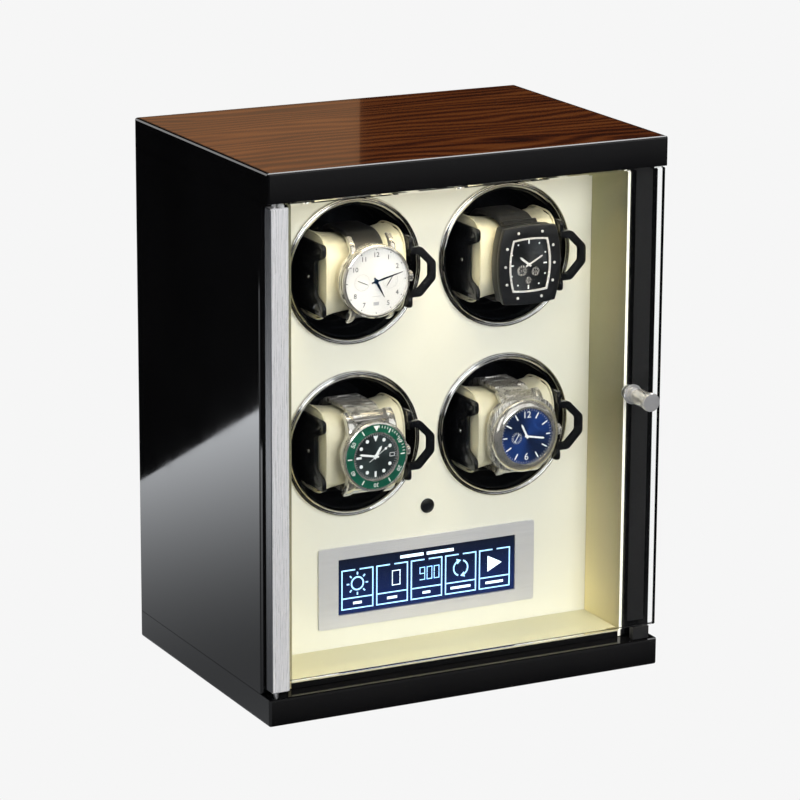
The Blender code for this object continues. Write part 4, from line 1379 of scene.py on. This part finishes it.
def diver_watch(name, place):
    """Steel case with a green turning bezel, a black dial and a three-row bracelet."""
    watch = Watch("diver", name, "watch_steel", place)
    case = bmesh.new()
    profile = [
        (0, 20.0), (16.0, 20.0), (18.2, 21.2), (19.0, 22.6), (19.2, 26.4), (18.8, 27.3), (18.8, 27.7),
        (14.0, 27.7), (14.0, 29.6), (0, 29.6),
    ]
    add_turned(case, profile, 96)
    lugs = bmesh.new()
    add_lugs(lugs, 10.2, 14.9, [(8.0, 24.6, 2.7), (15.5, 24.2, 2.5), (20.6, 21.6, 2.1), (23.8, 17.6, 1.7)])
    add_end_links(lugs, 10.1, 3.0, 20.3, 19.2, 0.80)
    soften(lugs, 0.5, 2, 30)
    merge(case, lugs)
    add_crown(case, 19.4, 23.4, 2.9, 24.6)
    watch.add("case", case, POLISHED_STEEL, [f"watch_{name}"])
    ring = bmesh.new()
    coin = gear_outline(72, 20.3, 19.75)
    inner = [(x * 18.7 / 20.3, y * 18.7 / 20.3) for x, y in gear_outline(72, 20.3, 20.3)]
    add_frame(ring, coin, inner, 27.9, 29.9)
    flange = [(19.9, 29.9), (19.5, 30.5), (18.8, 30.75), (18.6, 30.6), (18.6, 29.8), (19.9, 29.8)]
    add_turned(ring, flange, 96, closed=True)
    chapter = [(14.1, 31.1), (13.4, 31.0), (13.0, 29.9), (13.0, 29.6), (14.1, 29.6)]
    add_turned(ring, chapter, 96, closed=True)
    watch.add("bezel", ring, POLISHED_STEEL)
    insert = bmesh.new()
    add_turned(insert, [(18.6, 30.55), (14.1, 31.05), (14.1, 30.0), (18.6, 30.0)], 96, closed=True)
    watch.add("insert", insert, GREEN_BEZEL)
    watch.add("dial", disc_mesh("diver_dial", 13.3, 29.3, 29.7), BLACK_DIAL)
    marks = bmesh.new()
    slope = Matrix.Rotation(math.radians(-6.3), 4, "X")
    ring_face = 30.84
    for minute in range(60):
        if 0 < minute < 15 and minute not in (5, 10):
            add_block(
                marks, (-0.14, -0.7, -0.08), (0.14, 0.7, 0.06),
                on_dial(minute * 6, 17.2, ring_face - 0.1) @ slope,
            )
        if minute in (5, 15, 25, 35, 45, 55):
            add_block(
                marks, (-0.3, -1.3, -0.08), (0.3, 1.3, 0.06), on_dial(minute * 6, 16.4, ring_face) @ slope,
            )
        if minute in (10, 20, 30, 40, 50):
            add_text(marks, str(minute), 3.3, on_dial(minute * 6, 16.3, ring_face) @ slope, 0.12)
    triangle = [(-1.7, 1.4), (0, -1.6), (1.7, 1.4)]
    add_plate(marks, triangle, -0.08, 0.06, on_dial(0, 16.4, ring_face) @ slope)
    face = 29.7
    for hour in range(1, 12):
        spot = on_dial(hour * 30, 10.3, face)
        if hour in (6, 9):
            add_block(marks, (-0.6, -1.6, 0), (0.6, 1.6, 0.22), spot)
        elif hour == 3:
            add_frame(marks, box_corners(1.1, 1.5), box_corners(0.85, 1.25), 0, 0.12, spot)
        else:
            add_turned(marks, [(0, 0.22), (0.95, 0.20), (1.05, 0.05), (1.05, 0), (0, 0)], 20, place=spot)
    add_plate(marks, [(-1.5, 1.5), (0, -1.8), (1.5, 1.5)], 0, 0.22, on_dial(0, 10.3, face))
    for minute in range(60):
        add_block(marks, (-0.06, -0.3, 0), (0.06, 0.3, 0.05), on_dial(minute * 6, 12.5, face))
    watch.add("markers", marks, LUME)
    hands = bmesh.new()
    add_hand(hands, 281, baton(10.4, 1.15, 1.8), face + 0.55, face + 0.70)
    add_hand(hands, 32, baton(6.8, 1.5, 1.6), face + 0.35, face + 0.50)
    add_hand(hands, 56, baton(11.0, 0.28, 5.0), face + 0.74, face + 0.82)
    add_turned(hands, [(0, 0.95), (0.8, 0.9), (1.0, 0.7), (1.0, 0.1), (0, 0.1)], 24, place=at(0, 0, face))
    add_turned(hands, [(0, 0.86), (0.75, 0.84), (0.75, 0.72), (0, 0.72)], 20, place=on_dial(56, 7.2, face))
    watch.add("hands", hands, LUME)
    watch.add_crystal(13.35, 30.75, 31.35)
    rows = [(-9.9, -4.0, 0.0), (-4.0, 4.0, 0.5), (4.0, 9.9, 0.0)]
    bracelet = bracelet_mesh("diver_bracelet", 30, rows, 2.6)
    watch.add("bracelet", bracelet, BRUSHED_STEEL)


def cushion_watch(name, place):
    """Large steel cushion case, broad bezel and blue dial, on a wide-linked bracelet."""
    watch = Watch("cushion", name, "watch_steel", place)
    case = bmesh.new()
    shape = cushion_outline(21.2, 3.0, 64)
    add_plate(case, shape, 21.0, 26.4)
    add_plate(case, [(x * 0.88, y * 0.88) for x, y in shape], 20.0, 21.2)
    soften(case, 1.0, 3, 50)
    lugs = bmesh.new()
    add_lugs(lugs, 9.4, 13.4, [(12.0, 24.0, 2.2), (18.0, 23.4, 2.1), (21.8, 20.4, 1.9), (24.0, 16.8, 1.6)])
    add_end_links(lugs, 9.3, 3.0, 20.8, 18.8, 0.85)
    soften(lugs, 0.5, 2, 30)
    merge(case, lugs)
    add_crown(case, 21.0, 24.8, 3.1, 24.0, 26)
    watch.add("case", case, BRUSHED_STEEL, [f"watch_{name}"])
    ring = bmesh.new()
    profile = [
        (21.2, 26.2), (21.5, 27.0), (21.4, 28.0), (20.9, 28.9), (19.8, 29.9), (18.2, 30.8), (17.0, 31.15),
        (16.5, 31.1), (16.3, 30.8), (16.2, 29.8), (16.0, 29.4), (0, 29.4), (0, 26.2),
    ]
    add_turned(ring, profile, 96)
    watch.add("bezel", ring, POLISHED_STEEL)
    face = 29.7
    watch.add("dial", disc_mesh("cushion_dial", 16.1, 29.3, face), BLUE_DIAL)
    marks = bmesh.new()
    for hour in (1, 2, 4, 5, 7, 8, 10, 11):
        add_block(marks, (-0.36, -1.8, 0), (0.36, 1.8, 0.16), on_dial(hour * 30, 13.2, face))
    for hour in (3, 9):
        add_block(marks, (-0.36, -1.2, 0), (0.36, 1.2, 0.16), on_dial(hour * 30, 13.8, face))
    for minute in range(60):
        add_block(marks, (-0.07, -0.4, 0), (0.07, 0.4, 0.05), on_dial(minute * 6, 15.4, face))
    add_text(marks, "12", 5.4, at(0, 12.4, face + 0.08), 0.14)
    add_text(marks, "6", 5.8, at(0, -12.2, face + 0.08), 0.14)
    small = at(-6.4, -0.6, face)
    for tick in range(18):
        add_block(marks, (-0.09, 2.0, 0), (0.09, 3.4, 0.06), small @ turned_about_z(20 * tick))
    add_hand(marks, 212, baton(2.9, 0.45, 2.6), 0.18, 0.28, small)
    add_hand(marks, 101, baton(11.6, 1.05, 1.4), 0.50, 0.64, at(0, 0, face))
    add_hand(marks, 334, baton(8.2, 1.15, 1.4), 0.32, 0.46, at(0, 0, face))
    add_turned(marks, HAND_HUB, 24, place=at(0, 0, face))
    watch.add("markers", marks, LUME)
    watch.add_crystal(16.25, 30.6, 31.4)
    rows = [(-9.9, -5.2, 0.0), (-5.2, 5.2, 0.5), (5.2, 9.9, 0.0)]
    bracelet = bracelet_mesh("cushion_bracelet", 20, rows, 3.0, 0.30, 0.45)
    watch.add("bracelet", bracelet, BRUSHED_STEEL)


def make_winders():
    low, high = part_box("trim_ring_upper_left")
    ring = ring_mesh((high.x - low.x) / 2 / MM, 38.8, (high.y - PANEL_FACE) / MM)
    rotor = rotor_mesh()
    holder = holder_mesh()
    rivets = rivet_mesh()
    pillow = pillow_mesh()
    piping = piping_mesh()
    watches = dict(zip(CUPS, (dress_watch, tonneau_watch, diver_watch, cushion_watch)))
    for name in CUPS:
        place = cup_frame(name)
        body = f"holder_{name}"
        piece(f"cup_ring_{name}", ring, CHROME, "cabinet", "chrome", place, [f"trim_ring_{name}"])
        bowl = f"rotor_{name}"
        piece(f"bowl_{name}", rotor, GLOSS, bowl, "gloss_black_plastic", place, [bowl])
        piece(f"carrier_{name}", holder, GLOSS, body, "gloss_black_plastic", place, [f"watch_holder_{name}"])
        piece(f"carrier_rivets_{name}", rivets, POLISHED_STEEL, body, "steel", place)
        cushion = piece(f"cushion_{name}", pillow, PILLOW, body, "cream_leather", place, [f"pillow_{name}"])
        welt = piece(f"cushion_piping_{name}", piping, PIPING, body, "cream_leather", place)
        welt.parent = cushion
        welt.matrix_parent_inverse = cushion.matrix_world.inverted()
        watches[name](name, place)


# ---- staging ------------------------------------------------------------------------------------
BACKDROP = (0.922, 0.922, 0.922)
WHITE = (1, 1, 1)
SOFT_LIGHT = 0.32
MIRRORED_LIGHT = 0.006
FLOOR_REACH = 6.0
TABLE_CARD_Z = 0.001
FAR_WALL_Y = 2.2
LAMP_TARGET = (0, 0, 0.16)
STUDIO_LAMPS = (  # name, place, width, height, watts
    ("key", (0.10, -1.9, 0.80), 0.9, 0.9, 19),
    ("fill", (-1.2, -1.6, 0.8), 0.8, 1.2, 4.0),
    ("overhead", (0.1, -0.15, 1.5), 1.2, 1.0, 5),
    ("side", (-1.7, -0.35, 0.7), 0.5, 1.4, 1.2),
    ("rim", (0.9, 1.6, 1.1), 0.8, 0.8, 2),
)
STRIP_WATTS = 0.12
STRIP_COLOUR = (1.0, 0.86, 0.60)
STRIP_SPREAD = 85
LENS = 170.2
CAMERA_AT = (-0.9592, -1.8687, 0.7163)
CAMERA_DIRECTION = (0.4400, 0.8602, -0.2578)
CAMERA_ROLL = 0.3


def aimed(location, target):
    location = Vector(location)
    direction = Vector(target) - location
    return Matrix.Translation(location) @ direction.to_track_quat("-Z", "Y").to_matrix().to_4x4()


def lamp(name, location, target, wide, tall, power, colour=WHITE):
    data = bpy.data.lights.new(name, "AREA")
    data.shape = "RECTANGLE"
    data.size = wide
    data.size_y = tall
    data.energy = power
    data.color = colour
    obj = bpy.data.objects.new(name, data)
    bpy.context.scene.collection.objects.link(obj)
    obj.matrix_world = aimed(location, target)
    return obj


def level(low_x, high_x, low_y, high_y, z):
    return [(low_x, low_y, z), (high_x, low_y, z), (high_x, high_y, z), (low_x, high_y, z)]


def upright(low_x, high_x, low_z, high_z, y):
    return [(low_x, y, low_z), (high_x, y, low_z), (high_x, y, high_z), (low_x, y, high_z)]


def mixed_shader(nodes, share, first, second):
    return nodes.node("ShaderNodeMixShader", {"Fac": share, 1: first, 2: second}).outputs["Shader"]


def emitting(name, colour, strength):
    """An emitting material, its nodes and its shader's sockets."""
    material = bpy.data.materials.new(name)
    nodes = Nodes(material, fresh=True)
    emission = nodes.node("ShaderNodeEmission", Color=(*colour, 1), Strength=strength)
    nodes.node("ShaderNodeOutputMaterial", {"Surface": emission.outputs["Emission"]})
    return material, nodes, emission.inputs


def stage_quad(name, corners, material):
    mesh = bpy.data.meshes.new(name)
    mesh.from_pydata(corners, [], [tuple(range(len(corners)))])
    mesh.materials.append(material)
    obj = bpy.data.objects.new(name, mesh)
    bpy.context.scene.collection.objects.link(obj)
    return obj


def make_world():
    """White behind the object for the camera, soft grey for lighting, dark for mirror reflections."""
    world = bpy.data.worlds.new("studio")
    bpy.context.scene.world = world
    nodes = Nodes(world, fresh=True)

    def background(colour, strength):
        return nodes.node("ShaderNodeBackground", Color=(*colour, 1), Strength=strength).outputs[0]

    path = nodes.node("ShaderNodeLightPath").outputs
    scattered = nodes.math("GREATER_THAN", path["Diffuse Depth"], 0.5)
    reflected = nodes.math("GREATER_THAN", path["Glossy Depth"], 0.5)
    unscattered = nodes.math("SUBTRACT", 1.0, scattered)
    through_glass = nodes.math("MULTIPLY", path["Is Transmission Ray"], unscattered)
    mirror_through = nodes.math("MULTIPLY", through_glass, reflected)
    straight_through = nodes.math("SUBTRACT", through_glass, mirror_through)
    mirror_seen = nodes.math("MAXIMUM", path["Is Glossy Ray"], mirror_through)
    directly_seen = nodes.math("MAXIMUM", path["Is Camera Ray"], straight_through)
    unseen = mixed_shader(
        nodes, mirror_seen, background(WHITE, SOFT_LIGHT), background(WHITE, MIRRORED_LIGHT),
    )
    shown = mixed_shader(nodes, directly_seen, unseen, background(BACKDROP, 1.0))
    nodes.node("ShaderNodeOutputWorld", {"Surface": shown})


def make_floor():
    """Pale floor: to the camera as bright as the backdrop, to all else a plain pale surface."""
    material = bpy.data.materials.new("pale_floor")
    nodes = Nodes(material, fresh=True)
    glow = nodes.node("ShaderNodeEmission", Color=(*BACKDROP, 1), Strength=1.0).outputs[0]
    surface = nodes.node("ShaderNodeBsdfDiffuse", Color=(0.8, 0.8, 0.8, 1)).outputs[0]
    camera_sees = nodes.node("ShaderNodeLightPath").outputs["Is Camera Ray"]
    shown = mixed_shader(nodes, camera_sees, surface, glow)
    nodes.node("ShaderNodeOutputMaterial", {"Surface": shown})
    floor = stage_quad("floor", level(-FLOOR_REACH, FLOOR_REACH, -FLOOR_REACH, FLOOR_REACH, 0), material)
    floor.visible_glossy = False
    floor.visible_transmission = False


def table_shader(name, near, steepness):
    """Light that grows with the square of the distance in front of or behind the object."""
    material, nodes, shader = emitting(name, (0.93, 0.96, 1.0), 1.0)
    away = nodes.coordinate("Y")
    grown = nodes.math("MULTIPLY", nodes.math("MULTIPLY", away, away), steepness)
    nodes.tree.links.new(nodes.math("ADD", grown, near), shader["Strength"])
    return material


def banded_shader(name, near, far):
    """Light in bands across the table: they give the cabinet's two front boards their gradients."""
    material, nodes, shader = emitting(name, WHITE, 1.0)
    bands = [(0.016, 0.03), (0.042, 0.23), (0.091, 0.05), (0.805, 0.03), (0.836, 0.06), (0.92, 0.36)]
    share = nodes.between(nodes.coordinate("Y"), 0.0, 1.0, near, far)
    light = nodes.ramp(share, [(spot, (brightness,) * 3) for spot, brightness in bands])
    nodes.tree.links.new(light, shader["Color"])
    return material


def make_cards():
    """Cards that only reflections see: the table on three sides, a wall behind, and pale ones."""
    beside = [(-0.1235, -0.6), (-0.1235, 0.290), (-0.80, 0.888), (-1.6, -0.6)]
    cards = (
        ("side_table", [(x, y, TABLE_CARD_Z) for x, y in beside], 0.3, 13.0),
        ("rear_table", level(-0.12, 1.6, 0.13, 1.8, TABLE_CARD_Z), 0.05, 0.12),
    )
    made_cards = []
    for name, corners, near, steepness in cards:
        material = table_shader(f"{name}_card", near, steepness)
        made_cards.append(stage_quad(f"{name}_card", corners, material))
    bands = banded_shader("front_table_card", -0.06, -1.6)
    made_cards.append(stage_quad("front_table_card", level(-0.12, 2.0, -1.6, -0.06, 0.0005), bands))
    plain_cards = (
        ("wall", upright(-0.6, 1.065, 0.45, 1.25, FAR_WALL_Y), (1.0, 0.59, 0.33), 0.19),
        ("front", upright(-0.5, 1.7, 0.55, 1.9, -1.7), WHITE, 0.9),
        ("corner", upright(-1.9, -0.75, 0.45, 1.3, FAR_WALL_Y), WHITE, 2.0),
        ("edge", level(-0.2, 1.6, 0.3, 1.0, 1.45), WHITE, 7.0),
    )
    for name, corners, colour, strength in plain_cards:
        material = emitting(f"{name}_card", colour, strength)[0]
        made_cards.append(stage_quad(f"{name}_card", corners, material))
    for card in made_cards:
        card.visible_camera = False
        card.visible_diffuse = False
        card.visible_transmission = card.name == "front_card"
        card.visible_shadow = False


def make_lights():
    for name, location, wide, tall, power in STUDIO_LAMPS:
        lamp(name, location, LAMP_TARGET, wide, tall, power).visible_glossy = name != "rim"
    low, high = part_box("led_strip")
    centre = (low + high) / 2
    strip = lamp(
        "compartment_light",
        (centre.x, centre.y, low.z - 0.0015),
        (centre.x, centre.y + 0.006, 0),
        (high.x - low.x) * 0.95,
        max(high.y - low.y, 0.004) * 0.8,
        STRIP_WATTS,
        STRIP_COLOUR,
    )
    strip.data.spread = math.radians(STRIP_SPREAD)
    strip.visible_glossy = False


def make_camera():
    data = bpy.data.cameras.new("camera")
    data.lens = LENS
    data.sensor_width = 36.0
    data.clip_start = 0.05
    data.clip_end = 50.0
    camera = bpy.data.objects.new("camera", data)
    bpy.context.scene.collection.objects.link(camera)
    turn = Vector(CAMERA_DIRECTION).to_track_quat("-Z", "Y").to_matrix().to_4x4()
    roll = Matrix.Rotation(math.radians(CAMERA_ROLL), 4, "Z")
    camera.matrix_world = Matrix.Translation(CAMERA_AT) @ turn @ roll
    bpy.context.scene.camera = camera


paint_frame()
make_knob()
make_sensor()
make_rear_screws()
make_screen()
make_winders()
make_world()
make_floor()
make_cards()
make_lights()
make_camera()
bpy.context.scene.view_settings.view_transform = "Standard"
bpy.context.view_layer.update()
